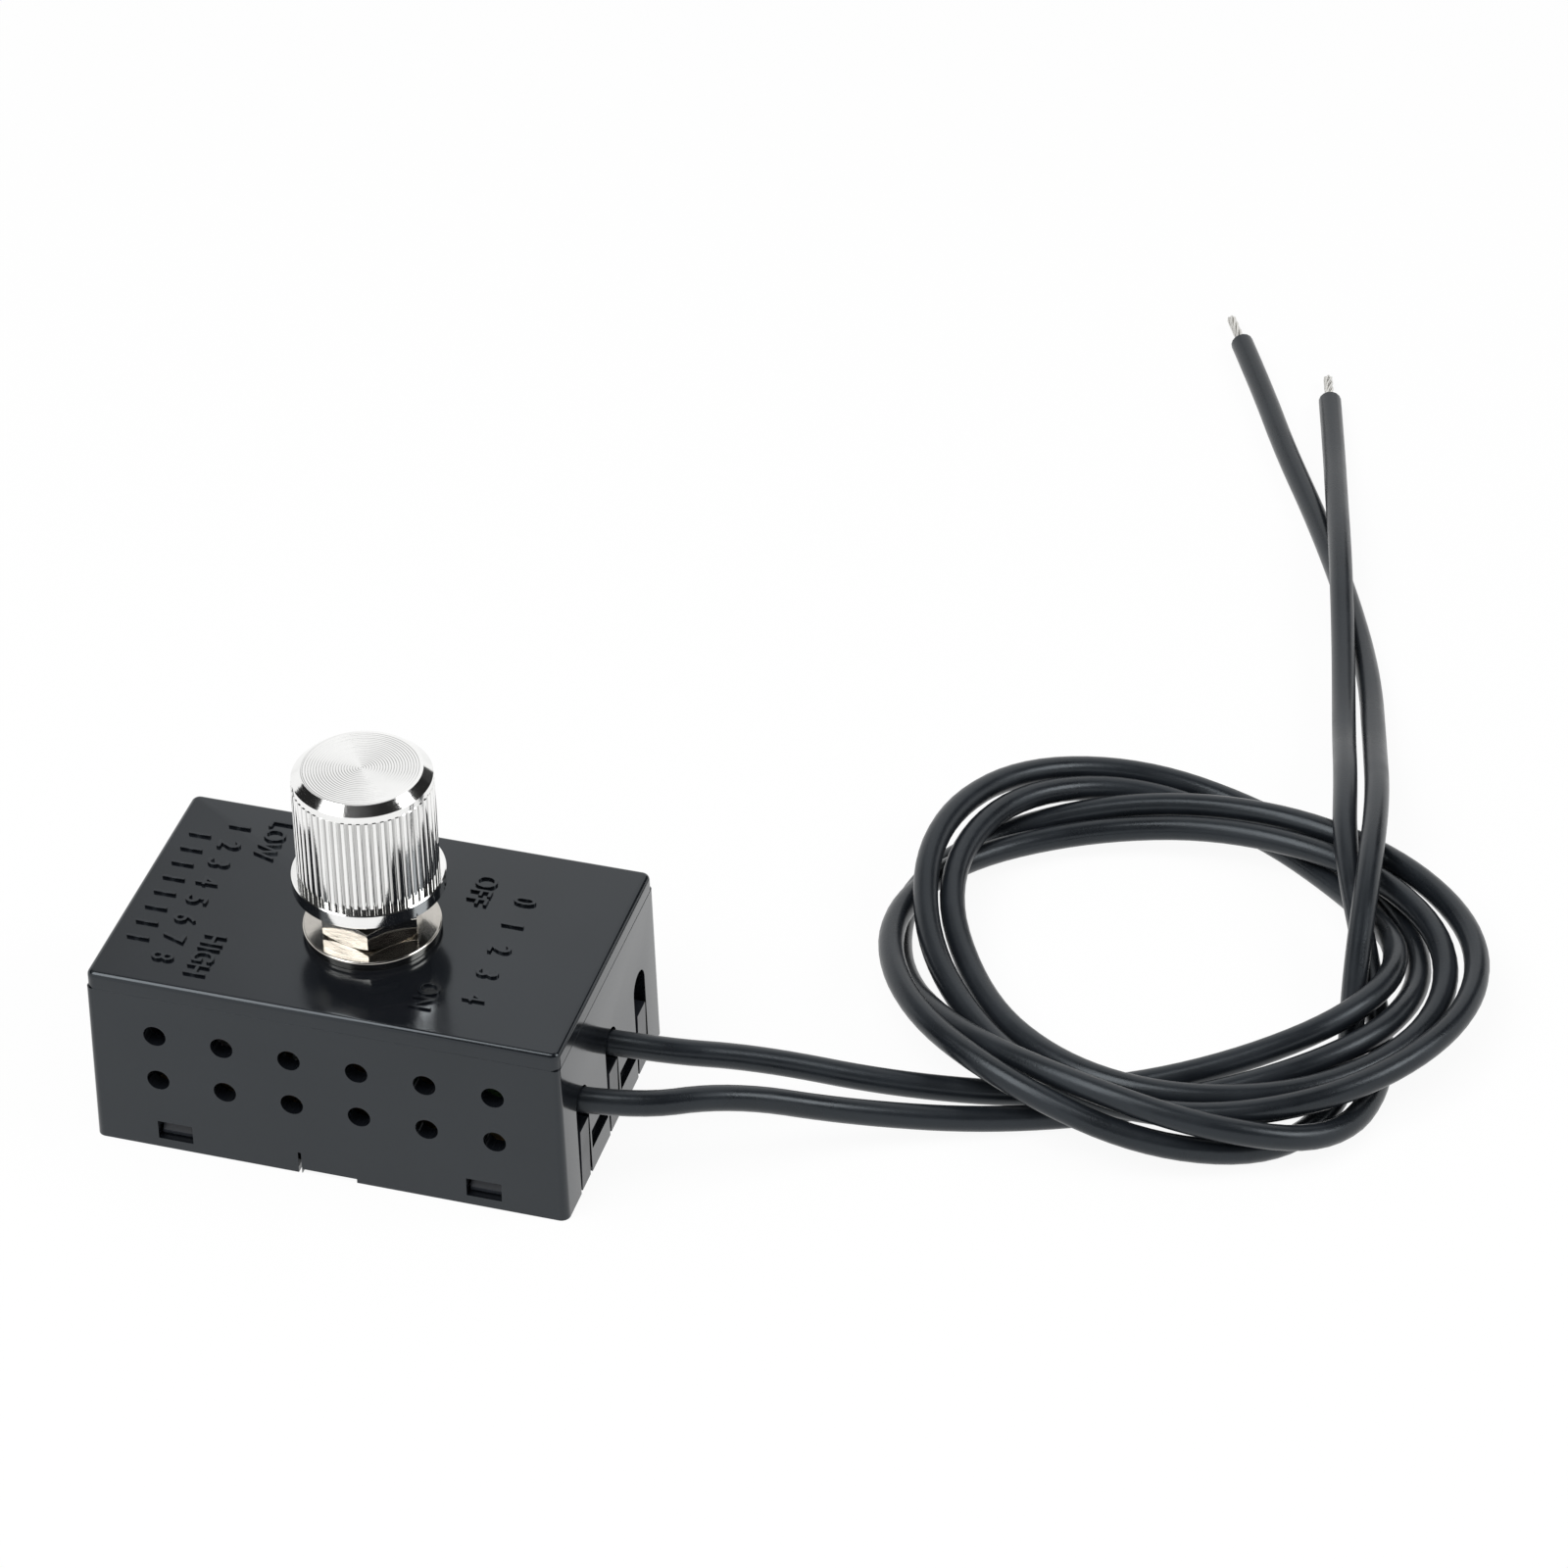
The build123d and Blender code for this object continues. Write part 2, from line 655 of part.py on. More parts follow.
# Capacitors: a large film block and a small one
with BuildPart() as film_capacitor:
    with BuildSketch(Plane.XY.offset(board_top)):
        with Locations((film_x, film_near_y)):
            Rectangle(film_length, film_far_y - film_near_y, align=(Align.CENTER, Align.MIN))
    extrude(amount=film_height)
    chamfer(film_capacitor.faces().sort_by(Axis.Z)[-1].edges(), length=film_edge)

with BuildPart() as small_capacitor:
    with BuildSketch(Plane.XY.offset(board_top)):
        with Locations((block_x, block_y)):
            Rectangle(block_length, block_width)
    extrude(amount=block_height)
    fillet(small_capacitor.faces().sort_by(Axis.Z)[-1].edges(), radius=block_edge)

# Choke: a drum core with its winding between the flanges
choke_axis = Axis((choke_x, choke_y, 0), (0, 0, 1))
with BuildPart() as choke_core:
    with BuildSketch(upright_plane((choke_x, choke_y, board_top))):
        with BuildLine():
            Polyline(
                (0, 0),
                (choke_radius, 0),
                (choke_radius, choke_flange),
                (choke_core_radius, choke_flange),
                (choke_core_radius, choke_height - choke_flange),
                (choke_radius, choke_height - choke_flange),
                (choke_radius, choke_height),
                (0, choke_height),
                close=True,
            )
        make_face()
    revolve(axis=choke_axis)

with BuildPart() as choke_winding:
    with BuildSketch(Plane.XY.shift_origin((choke_x, choke_y)).offset(board_top + choke_flange)):
        Circle(choke_radius - winding_inset)
        Circle(choke_core_radius + winding_gap, mode=Mode.SUBTRACT)
    extrude(amount=choke_height - 2 * choke_flange)


def axial_component(x, y, length, end_radius, middle_radius):
    """A body on its side with a lead bent down to the board at each end."""
    height = board_top + end_radius + axial_lift
    reach = length / 2 + axial_lead_reach
    cap = length / 5
    with BuildSketch(upright_plane((x, y, height))) as half:
        with BuildLine():
            Polyline(
                (-length / 2, 0),
                (-length / 2, end_radius),
                (-length / 2 + cap, end_radius),
                (-length / 2 + cap, middle_radius),
                (length / 2 - cap, middle_radius),
                (length / 2 - cap, end_radius),
                (length / 2, end_radius),
                (length / 2, 0),
                close=True,
            )
        make_face()
    revolve(half.sketch, axis=Axis((x, y, height), (1, 0, 0)))
    for side in (-1, 1):
        with BuildLine() as lead:
            FilletPolyline(
                (x + side * (length / 2 - cap), y, height),
                (x + side * reach, y, height),
                (x + side * reach, y, board_top),
                radius=2 * axial_lead_radius,
            )
        lead_path = lead.wire()
        with BuildSketch(Plane(origin=lead_path @ 0, z_dir=lead_path % 0)) as section:
            Circle(axial_lead_radius)
        sweep(section.sketch, path=lead_path)


# Two resistors under the switch block and a small glass-bodied trigger diode
with BuildPart() as resistors:
    for y in resistor_y:
        axial_component(axis_x, y, resistor_length, resistor_radius, resistor_waist_radius)

with BuildPart() as diac:
    axial_component(diac_x, diac_y, diac_length, diac_radius, diac_radius * 0.9)

# Solder joints below the board, one under each lead
resistor_reach = resistor_length / 2 + axial_lead_reach
diac_reach = diac_length / 2 + axial_lead_reach
lead_places = [(package_end + lead_reach - lead_thickness / 2, y) for y in (-lead_pitch, 0.0, lead_pitch)]
lead_places += [(axis_x + side * resistor_reach, y) for side in (-1, 1) for y in resistor_y]
lead_places += [(diac_x + side * diac_reach, diac_y) for side in (-1, 1)]
lead_places += [
    (axis_x + x, terminal_foot_y + terminal_thickness / 2)
    for x in (-terminal_spacing, 0.0, terminal_spacing)
]
lead_places += [(axis_x + side * switch_pin_spacing / 2, axis_y) for side in (-1, 1)]
lead_places += lug_places
with BuildPart() as solder_joints:
    with Locations(*[(x, y, board_height - solder_height / 2) for x, y in lead_places]):
        Cone(solder_radius / 3, solder_radius, solder_height)


def bend_radii(route):
    """Each arc is as large as its two runs allow."""
    points = [Vector(*point) for point in route]
    radii = []
    for before, corner, after in zip(points, points[1:], points[2:]):
        run_in = corner - before
        run_out = after - corner
        half_turn = radians(run_in.get_angle(run_out)) / 2
        radii.append(arc_share * min(run_in.length, run_out.length) / tan(half_turn))
    return radii


def wire_route(y, turns):
    """From the lug straight out through the slot, then along the turns."""
    straight = [(lug_face_x, y, wire_height), (half_length + wire_straight, y, wire_height)]
    return straight + [(half_length + point[0], point[1], point[2]) for point in turns]


def wire_path(route):
    """Straight runs joined by tangent arcs."""
    with BuildLine() as path:
        FilletPolyline(*route, radius=bend_radii(route))
    return path.wire()


def conductor_plane(route):
    """The end face of the insulation, facing along the last run."""
    last_run = Vector(*route[-1]) - Vector(*route[-2])
    return Plane(origin=route[-1], z_dir=last_run)


wire_1_route = wire_route(0.0, wire_1_turns)
wire_1_path = wire_path(wire_1_route)
with BuildPart() as wire_1:
    with BuildSketch(Plane(origin=wire_1_path @ 0, z_dir=wire_1_path % 0)):
        Circle(wire_diameter / 2)
    sweep(path=wire_1_path)

wire_2_route = wire_route(-slot_spacing, wire_2_turns)
wire_2_path = wire_path(wire_2_route)
with BuildPart() as wire_2:
    with BuildSketch(Plane(origin=wire_2_path @ 0, z_dir=wire_2_path % 0)):
        Circle(wire_diameter / 2)
    sweep(path=wire_2_path)

# Stripped, tinned ends of the two wires
with BuildPart() as wire_1_tip:
    with BuildSketch(conductor_plane(wire_1_route)):
        Circle(conductor_diameter / 2)
    extrude(amount=stripped_length)

with BuildPart() as wire_2_tip:
    with BuildSketch(conductor_plane(wire_2_route)):
        Circle(conductor_diameter / 2)
    extrude(amount=stripped_length)

wire_section = pi * (wire_diameter / 2) ** 2
for wire, path, route in ((wire_1, wire_1_path, wire_1_route), (wire_2, wire_2_path, wire_2_route)):
    print("wire length", round(path.length, 1), "smallest bend", round(min(bend_radii(route)), 1))
    print("  volume ratio", round(wire.part.volume / (wire_section * path.length), 4))

pieces = {
    "casing": casing,
    "base_plate": base_plate,
    "circuit_board": circuit_board,
    "lead_lugs": lead_lugs,
    "solder_joints": solder_joints,
    "pot_cover": pot_cover,
    "pot_bushing": pot_bushing,
    "pot_wafer": pot_wafer,
    "pot_wiper": pot_wiper,
    "pot_shaft": pot_shaft,
    "pot_terminals": pot_terminals,
    "switch_block": switch_block,
    "switch_pins": switch_pins,
    "lock_washer": lock_washer,
    "flat_washer": flat_washer,
    "hex_nut": hex_nut,
    "knob": knob,
    "knob_insert": knob_insert,
    "heat_sink": heat_sink,
    "triac": triac,
    "triac_screw": triac_screw,
    "film_capacitor": film_capacitor,
    "small_capacitor": small_capacitor,
    "choke_core": choke_core,
    "choke_winding": choke_winding,
    "resistors": resistors,
    "diac": diac,
    "wire_1": wire_1,
    "wire_2": wire_2,
    "wire_1_tip": wire_1_tip,
    "wire_2_tip": wire_2_tip,
}
for name, piece in pieces.items():
    piece.part.label = name
    export_step(piece.part, f"parts/{name}.step")
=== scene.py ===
import math

import bmesh
import bpy
from mathutils import Matrix, Vector


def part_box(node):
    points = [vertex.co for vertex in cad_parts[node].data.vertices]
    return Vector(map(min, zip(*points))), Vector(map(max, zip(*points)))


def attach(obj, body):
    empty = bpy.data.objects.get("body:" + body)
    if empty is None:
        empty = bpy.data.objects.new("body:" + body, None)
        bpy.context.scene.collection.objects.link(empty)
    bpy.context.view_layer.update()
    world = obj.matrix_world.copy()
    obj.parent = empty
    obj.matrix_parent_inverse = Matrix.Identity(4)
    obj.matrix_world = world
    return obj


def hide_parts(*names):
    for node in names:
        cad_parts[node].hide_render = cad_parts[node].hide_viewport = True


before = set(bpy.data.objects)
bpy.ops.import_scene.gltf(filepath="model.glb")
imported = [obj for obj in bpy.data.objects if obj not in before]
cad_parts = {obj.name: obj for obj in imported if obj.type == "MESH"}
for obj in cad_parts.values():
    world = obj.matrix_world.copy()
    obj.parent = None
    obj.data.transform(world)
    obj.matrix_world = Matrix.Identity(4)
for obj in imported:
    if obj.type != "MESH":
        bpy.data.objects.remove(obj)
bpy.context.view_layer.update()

bl_info = {
    "name": "Rotary dimmer",
    "version": (1, 0, 0),
    "blender": (4, 5, 0),
    "location": "View3D > Sidebar > Dimmer",
    "description": "Dresses a small boxed rotary dimmer with its knob and hook-up wires",
    "category": "Object",
}

MM = 0.001

# Routes of the two wires, in millimetres: out of the casing, two loose turns, a straight tail
WIRE_ROUTES = {
    "wire_1": (
        (20.0, 0.0, 11.2), (31.0, 0.0, 11.2), (41.0, 5.5, 8.0), (54.5, 11.0, 2.8), (70.0, 15.0, 1.4),
        (85.5, 20.5, 3.4), (99.5, 29.5, 6.8), (103.5, 43.0, 5.6), (95.5, 56.5, 1.4), (80.5, 67.0, 1.4),
        (65.0, 68.0, 3.8), (53.5, 58.0, 6.6), (51.0, 42.0, 6.2), (59.5, 26.0, 4.0), (71.0, 16.0, 5.0),
        (84.5, 13.5, 5.4), (99.0, 19.5, 4.8), (108.5, 32.5, 4.8), (107.5, 47.5, 5.0), (96.0, 59.0, 4.8),
        (79.0, 63.0, 4.0), (63.0, 60.0, 2.6), (50.0, 49.5, 3.2), (46.5, 34.0, 5.4), (53.5, 18.5, 7.4),
        (67.0, 9.0, 7.6), (83.0, 6.5, 4.2), (96.5, 12.5, 1.4), (101.0, 24.5, 1.4), (98.5, 37.5, 4.4),
        (97.0, 51.5, 10.0), (95.0, 66.0, 9.0), (91.5, 81.5, 4.6), (87.5, 98.0, 2.0), (81.5, 113.5, 1.4),
        (74.5, 128.5, 1.4), (67.5, 142.0, 1.4), (62.0, 154.0, 1.4), (57.0, 164.0, 1.4),
    ),
    "wire_2": (
        (20.0, -9.9, 11.2), (31.0, -9.9, 11.2), (40.5, -3.5, 10.2), (51.5, 3.5, 4.4), (65.5, 9.5, 1.4),
        (80.5, 15.0, 2.0), (95.0, 21.0, 5.0), (104.5, 31.5, 5.6), (105.0, 47.0, 2.4), (96.0, 61.0, 1.4),
        (81.5, 70.0, 1.4), (66.0, 71.5, 3.6), (53.0, 63.0, 6.8), (48.0, 48.0, 8.4), (51.5, 32.5, 6.0),
        (61.0, 20.0, 4.4), (73.0, 11.5, 5.2), (88.0, 11.0, 5.2), (102.5, 18.5, 6.2), (111.5, 32.5, 6.4),
        (111.0, 47.5, 5.4), (101.5, 59.5, 4.8), (86.5, 65.5, 5.0), (69.5, 65.0, 4.4), (54.5, 58.5, 2.4),
        (46.0, 46.5, 1.4), (48.5, 31.5, 1.8), (58.0, 18.0, 6.0), (73.5, 10.0, 8.4), (89.5, 8.0, 6.8),
        (102.0, 14.5, 2.6), (104.5, 28.0, 1.4), (99.0, 43.5, 3.2), (93.0, 57.5, 8.2), (90.5, 70.0, 7.8),
        (87.5, 83.5, 4.0), (84.0, 99.5, 3.6), (80.0, 116.0, 5.0), (76.5, 130.0, 3.8), (73.5, 142.5, 2.0),
        (70.5, 154.0, 1.4),
    ),
}

# Length of a stripped tip, as a share of the diagonal of its box
TIP_SHARE = 0.93

# Gloss of the black plastics: slightly blue
COOL_SHEEN = (0.86, 0.94, 1.0)

# Camera, fitted to the edges of the casing and the knob
CAMERA_PLACE = (0.18925, -0.46456, 0.41916)
CAMERA_RIGHT = (0.95872, 0.28396, -0.01469)
CAMERA_UP = (-0.16068, 0.58369, 0.79592)
CAMERA_LENS = 138.6
SENSOR_WIDTH = 36.0

# Where both lamps point: the middle of the object, on the floor
LAMP_TARGET = (0.03, 0.03, 0.0)

# Cards about the knob: name, bearing, rise, distance, width, height, tone and the tone at its far side
STUDIO_CARDS = (
    ("back left card", 118, 46, 0.9, 0.24, 0.6, 1.15, 0.4),
    ("left back card", 148, 46, 0.9, 0.5, 0.6, 0.5, 0.05),
    ("back card", 107, 66, 0.9, 0.5, 0.2, 0.25, 0.25),
    ("left card", -176, 32, 0.8, 0.62, 0.36, 0.02, 0.02),
    ("front right card", -56, 50, 0.75, 1.25, 0.75, 0.02, 0.02),
    ("right card", 41, 34, 0.7, 0.34, 0.42, 0.02, 0.02),
    ("far right card", 62, 18, 1.0, 0.36, 0.46, 0.04, 0.04),
    ("overhead card", 90, 86, 1.3, 1.1, 1.1, 0.05, 0.05),
)


class DimmerSettings(bpy.types.PropertyGroup):
    """Sizes and colours that a user of this dimmer may want to change"""

    casing_colour: bpy.props.FloatVectorProperty(
        name="Casing colour", description="Colour of the moulded casing and base plate",
        subtype="COLOR", size=3, min=0, max=1, default=(0.006, 0.007, 0.009),
    )
    casing_roughness: bpy.props.FloatProperty(
        name="Casing roughness", description="How matt the casing's plastic is",
        subtype="FACTOR", min=0, max=1, default=0.14,
    )
    wire_colour: bpy.props.FloatVectorProperty(
        name="Wire colour", description="Colour of the jacket of both wires",
        subtype="COLOR", size=3, min=0, max=1, default=(0.009, 0.011, 0.014),
    )
    wire_diameter: bpy.props.FloatProperty(
        name="Wire diameter", description="Outside diameter of the jacket",
        subtype="DISTANCE", unit="LENGTH", min=0.001, max=0.006, default=0.0028,
    )
    strand_diameter: bpy.props.FloatProperty(
        name="Strand diameter", description="Diameter of one strand of the stripped ends",
        subtype="DISTANCE", unit="LENGTH", min=0.0001, max=0.001, default=0.0004,
    )
    knob_colour: bpy.props.FloatVectorProperty(
        name="Knob colour", description="Colour of the bright knob",
        subtype="COLOR", size=3, min=0, max=1, default=(0.9, 0.9, 0.89),
    )
    plating_colour: bpy.props.FloatVectorProperty(
        name="Plating colour", description="Colour of the plated nut, washers and bushing",
        subtype="COLOR", size=3, min=0, max=1, default=(0.7, 0.67, 0.62),
    )
    edge_softness: bpy.props.FloatProperty(
        name="Edge softness", description="Width of the rounding on moulded edges",
        subtype="DISTANCE", unit="LENGTH", min=0, max=0.001, default=0.00015,
    )
    mark_height: bpy.props.FloatProperty(
        name="Mark height", description="How far the raised marks stand out of the casing",
        subtype="DISTANCE", unit="LENGTH", min=0.00005, max=0.001, default=0.00025,
    )


def settings():
    """The scene's settings for this dimmer."""
    return bpy.context.scene.dimmer_settings


def new_object(name, data, material=None):
    """An object at the origin, in the scene's collection."""
    piece = bpy.data.objects.new(name, data)
    bpy.context.scene.collection.objects.link(piece)
    if material is not None:
        piece.data.materials.clear()
        piece.data.materials.append(material)
    return piece


def mesh_object(name, bm, material, smooth_angle=None):
    """Turns a bmesh into an object, smooth up to an angle between faces."""
    bmesh.ops.recalc_face_normals(bm, faces=bm.faces)
    if smooth_angle is not None:
        shade_by_angle(bm, smooth_angle)
    mesh = bpy.data.meshes.new(name)
    bm.to_mesh(mesh)
    bm.free()
    return new_object(name, mesh, material)


def shade_by_angle(bm, smooth_angle):
    """Smooth faces, with the edges sharper than an angle left sharp."""
    limit = math.radians(smooth_angle)
    for face in bm.faces:
        face.smooth = True
    for edge in bm.edges:
        edge.smooth = edge.is_manifold and edge.calc_face_angle(0) < limit


def merged_copy(node, name, material, smooth_angle=32):
    """A copy of a CAD node with its loose triangles joined, which then stands for the node."""
    bm = bmesh.new()
    bm.from_mesh(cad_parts[node].data)
    bmesh.ops.remove_doubles(bm, verts=bm.verts, dist=1e-6)
    bmesh.ops.dissolve_limit(bm, angle_limit=math.radians(0.2), verts=bm.verts, edges=bm.edges)
    shade_by_angle(bm, smooth_angle)
    mesh = bpy.data.meshes.new(name)
    bm.to_mesh(mesh)
    bm.free()
    piece = new_object(name, mesh, material)
    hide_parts(node)
    return piece


def soften_edges(piece, width):
    """A narrow bevel, so that edges catch the light."""
    bevel = piece.modifiers.new("edge softening", "BEVEL")
    bevel.width = width
    bevel.segments = 2
    bevel.limit_method = "ANGLE"
    bevel.angle_limit = math.radians(35)
    bevel.harden_normals = True


def node_centre(node):
    """Middle of a CAD node's box."""
    low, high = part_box(node)
    return (Vector(low) + Vector(high)) / 2


def link_slot(piece, body):
    """The piece moves with a body."""
    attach(piece, body)


# Shared shader groups


def new_group(name, inputs, outputs):
    """An empty shader group with its named sockets."""
    group = bpy.data.node_groups.new(name, "ShaderNodeTree")
    for label, kind, value in inputs:
        socket = group.interface.new_socket(name=label, in_out="INPUT", socket_type=kind)
        if value is not None:
            socket.default_value = value
    for label, kind in outputs:
        group.interface.new_socket(name=label, in_out="OUTPUT", socket_type=kind)
    return group


def moulded_grain_group():
    """Fine grain and slow blotches, for anything moulded, dipped or plated."""
    group = new_group(
        "Moulded Grain",
        [
            ("Vector", "NodeSocketVector", None),
            ("Grain Scale", "NodeSocketFloat", 4000.0),
            ("Blotch Scale", "NodeSocketFloat", 120.0),
        ],
        [("Height", "NodeSocketFloat"), ("Blotch", "NodeSocketFloat")],
    )
    nodes, links = group.nodes, group.links
    source = nodes.new("NodeGroupInput")
    out = nodes.new("NodeGroupOutput")
    grain = nodes.new("ShaderNodeTexNoise")
    grain.inputs["Detail"].default_value = 3
    blotch = nodes.new("ShaderNodeTexNoise")
    blotch.inputs["Detail"].default_value = 5
    spread = nodes.new("ShaderNodeMapRange")
    spread.inputs["From Min"].default_value = 0.3
    spread.inputs["From Max"].default_value = 0.7
    links.new(source.outputs["Vector"], grain.inputs["Vector"])
    links.new(source.outputs["Grain Scale"], grain.inputs["Scale"])
    links.new(source.outputs["Vector"], blotch.inputs["Vector"])
    links.new(source.outputs["Blotch Scale"], blotch.inputs["Scale"])
    links.new(blotch.outputs["Fac"], spread.inputs["Value"])
    links.new(grain.outputs["Fac"], out.inputs["Height"])
    links.new(spread.outputs["Result"], out.inputs["Blotch"])
    return group


def about_z(nodes, links, vector):
    """A vector's distance from the Z axis, and its height."""
    split = nodes.new("ShaderNodeSeparateXYZ")
    flat = nodes.new("ShaderNodeCombineXYZ")
    radius = nodes.new("ShaderNodeVectorMath")
    radius.operation = "LENGTH"
    links.new(vector, split.inputs["Vector"])
    links.new(split.outputs["X"], flat.inputs["X"])
    links.new(split.outputs["Y"], flat.inputs["Y"])
    links.new(flat.outputs["Vector"], radius.inputs[0])
    return radius.outputs["Value"], split.outputs["Z"]


def turning_lines_group():
    """Rings about the Z axis of the vector, as a lathe tool leaves them."""
    group = new_group(
        "Turning Lines",
        [("Vector", "NodeSocketVector", None), ("Ring Scale", "NodeSocketFloat", 3000.0)],
        [("Height", "NodeSocketFloat")],
    )
    nodes, links = group.nodes, group.links
    source = nodes.new("NodeGroupInput")
    out = nodes.new("NodeGroupOutput")
    rings = nodes.new("ShaderNodeTexNoise")
    rings.noise_dimensions = "1D"
    rings.inputs["Detail"].default_value = 2
    radius, _ = about_z(nodes, links, source.outputs["Vector"])
    links.new(radius, rings.inputs["W"])
    links.new(source.outputs["Ring Scale"], rings.inputs["Scale"])
    links.new(rings.outputs["Fac"], out.inputs["Height"])
    return group


def shared_group(name):
    """A shader group, made the first time that a material asks for it."""
    makers = {"Moulded Grain": moulded_grain_group, "Turning Lines": turning_lines_group}
    return bpy.data.node_groups.get(name) or makers[name]()


def add_group(tree, name, vector, **values):
    """Puts a shared group in a material, with its own values."""
    node = tree.nodes.new("ShaderNodeGroup")
    node.node_tree = shared_group(name)
    tree.links.new(vector, node.inputs["Vector"])
    for label, value in values.items():
        node.inputs[label.replace("_", " ")].default_value = value
    return node


def empty_material(name):
    """A material with its Principled shader, and the object's coordinates to work from."""
    material = bpy.data.materials.new(name)
    material.use_nodes = True
    tree = material.node_tree
    shader = tree.nodes["Principled BSDF"]
    place = tree.nodes.new("ShaderNodeTexCoord").outputs["Object"]
    return material, tree, shader, place


def mix_colours(tree, factor, first, second):
    """Two colours mixed by a factor."""
    mix = tree.nodes.new("ShaderNodeMix")
    mix.data_type = "RGBA"
    mix.inputs["A"].default_value = (*first, 1)
    mix.inputs["B"].default_value = (*second, 1)
    tree.links.new(factor, mix.inputs["Factor"])
    return mix.outputs["Result"]


def map_to(tree, value, low, high):
    """Spreads a value from 0 to 1 over a range."""
    spread = tree.nodes.new("ShaderNodeMapRange")
    spread.inputs["To Min"].default_value = low
    spread.inputs["To Max"].default_value = high
    tree.links.new(value, spread.inputs["Value"])
    return spread.outputs["Result"]


def bump(tree, height, distance, under=None):
    """A bump of a height socket, over another one if given."""
    node = tree.nodes.new("ShaderNodeBump")
    node.inputs["Distance"].default_value = distance
    tree.links.new(height, node.inputs["Height"])
    if under is not None:
        tree.links.new(under, node.inputs["Normal"])
    return node.outputs["Normal"]


def scaled(colour, factor):
    """A colour made lighter or darker."""
    return tuple(min(1.0, part * factor) for part in colour)


def grained_material(name, colour, roughness, metallic=0.0, grain_scale=4000.0, grain_depth=0.01 * MM,
                     blotch_scale=120.0, blotch_amount=0.12, roughness_spread=0.06, ior=1.46,
                     sheen=(1.0, 1.0, 1.0)):
    """A finish with a fine grain, a slow change of tone and a slightly uneven gloss."""
    material, tree, shader, place = empty_material(name)
    grain = add_group(tree, "Moulded Grain", place, Grain_Scale=grain_scale, Blotch_Scale=blotch_scale)
    darker = scaled(colour, 1 - blotch_amount)
    lighter = scaled(colour, 1 + blotch_amount)
    smoother = max(0.0, roughness - roughness_spread)
    rougher = roughness + roughness_spread
    tone = mix_colours(tree, grain.outputs["Blotch"], darker, lighter)
    gloss = map_to(tree, grain.outputs["Blotch"], smoother, rougher)
    tree.links.new(tone, shader.inputs["Base Color"])
    tree.links.new(gloss, shader.inputs["Roughness"])
    tree.links.new(bump(tree, grain.outputs["Height"], grain_depth), shader.inputs["Normal"])
    shader.inputs["Metallic"].default_value = metallic
    shader.inputs["IOR"].default_value = ior
    shader.inputs["Specular Tint"].default_value = (*sheen, 1)
    return material


def casing_material():
    """Black moulded plastic with a polished grain."""
    return grained_material(
        "casing plastic", tuple(settings().casing_colour), settings().casing_roughness,
        grain_scale=2600.0, grain_depth=0.002 * MM, blotch_scale=90.0, roughness_spread=0.05, ior=1.53,
        sheen=COOL_SHEEN,
    )


def centred(tree, place, node):
    """Object coordinates moved to a CAD node's middle."""
    shift = tree.nodes.new("ShaderNodeMapping")
    shift.inputs["Location"].default_value = -node_centre(node)
    tree.links.new(place, shift.inputs["Vector"])
    return shift.outputs["Vector"]


def groove_shade_mask(tree, middle):
    """Mask of the painted shade in the knob's flutes: white at the bottom of the flutes, black on its
    ridges, skirt and top.
    """
    ridge_radius = 7.42 * MM
    groove_radius = 7.29 * MM
    flute_end = 5.75 * MM
    end_fade = 0.05 * MM
    radius, height = about_z(tree.nodes, tree.links, middle)
    depth = tree.nodes.new("ShaderNodeMapRange")
    depth.inputs["From Min"].default_value = ridge_radius
    depth.inputs["From Max"].default_value = groove_radius
    level = tree.nodes.new("ShaderNodeMath")
    level.operation = "ABSOLUTE"
    along = tree.nodes.new("ShaderNodeMapRange")
    along.inputs["From Min"].default_value = flute_end
    along.inputs["From Max"].default_value = flute_end - end_fade
    both = tree.nodes.new("ShaderNodeMath")
    both.operation = "MULTIPLY"
    tree.links.new(radius, depth.inputs["Value"])
    tree.links.new(height, level.inputs[0])
    tree.links.new(level.outputs["Value"], along.inputs["Value"])
    tree.links.new(depth.outputs["Result"], both.inputs[0])
    tree.links.new(along.outputs["Result"], both.inputs[1])
    return both.outputs["Value"]


def bright_knob_material():
    """Polished metal with turning lines on what faces up, and painted shade in the grooves between the
    flutes.
    """
    material, tree, shader, place = empty_material("knob metal")
    middle = centred(tree, place, "knob")
    rings = add_group(tree, "Turning Lines", middle, Ring_Scale=2600.0)
    grain = add_group(tree, "Moulded Grain", place, Grain_Scale=5200.0, Blotch_Scale=260.0)
    colour = tuple(settings().knob_colour)
    tone = mix_colours(tree, grain.outputs["Blotch"], scaled(colour, 0.95), scaled(colour, 1.03))
    # Painted shade: the base colour falls to half its tone at the bottom of the flutes
    groove_shade = tree.nodes.new("ShaderNodeMix")
    groove_shade.data_type = "RGBA"
    groove_shade.inputs["B"].default_value = (*scaled(colour, 0.5), 1)
    tree.links.new(groove_shade_mask(tree, middle), groove_shade.inputs["Factor"])
    tree.links.new(tone, groove_shade.inputs["A"])
    tree.links.new(groove_shade.outputs["Result"], shader.inputs["Base Color"])
    tree.links.new(map_to(tree, grain.outputs["Blotch"], 0.06, 0.12), shader.inputs["Roughness"])
    lines = bump(tree, rings.outputs["Height"], 0.004 * MM)
    tree.links.new(bump(tree, grain.outputs["Height"], 0.002 * MM, lines), shader.inputs["Normal"])
    shader.inputs["Metallic"].default_value = 1.0
    return material


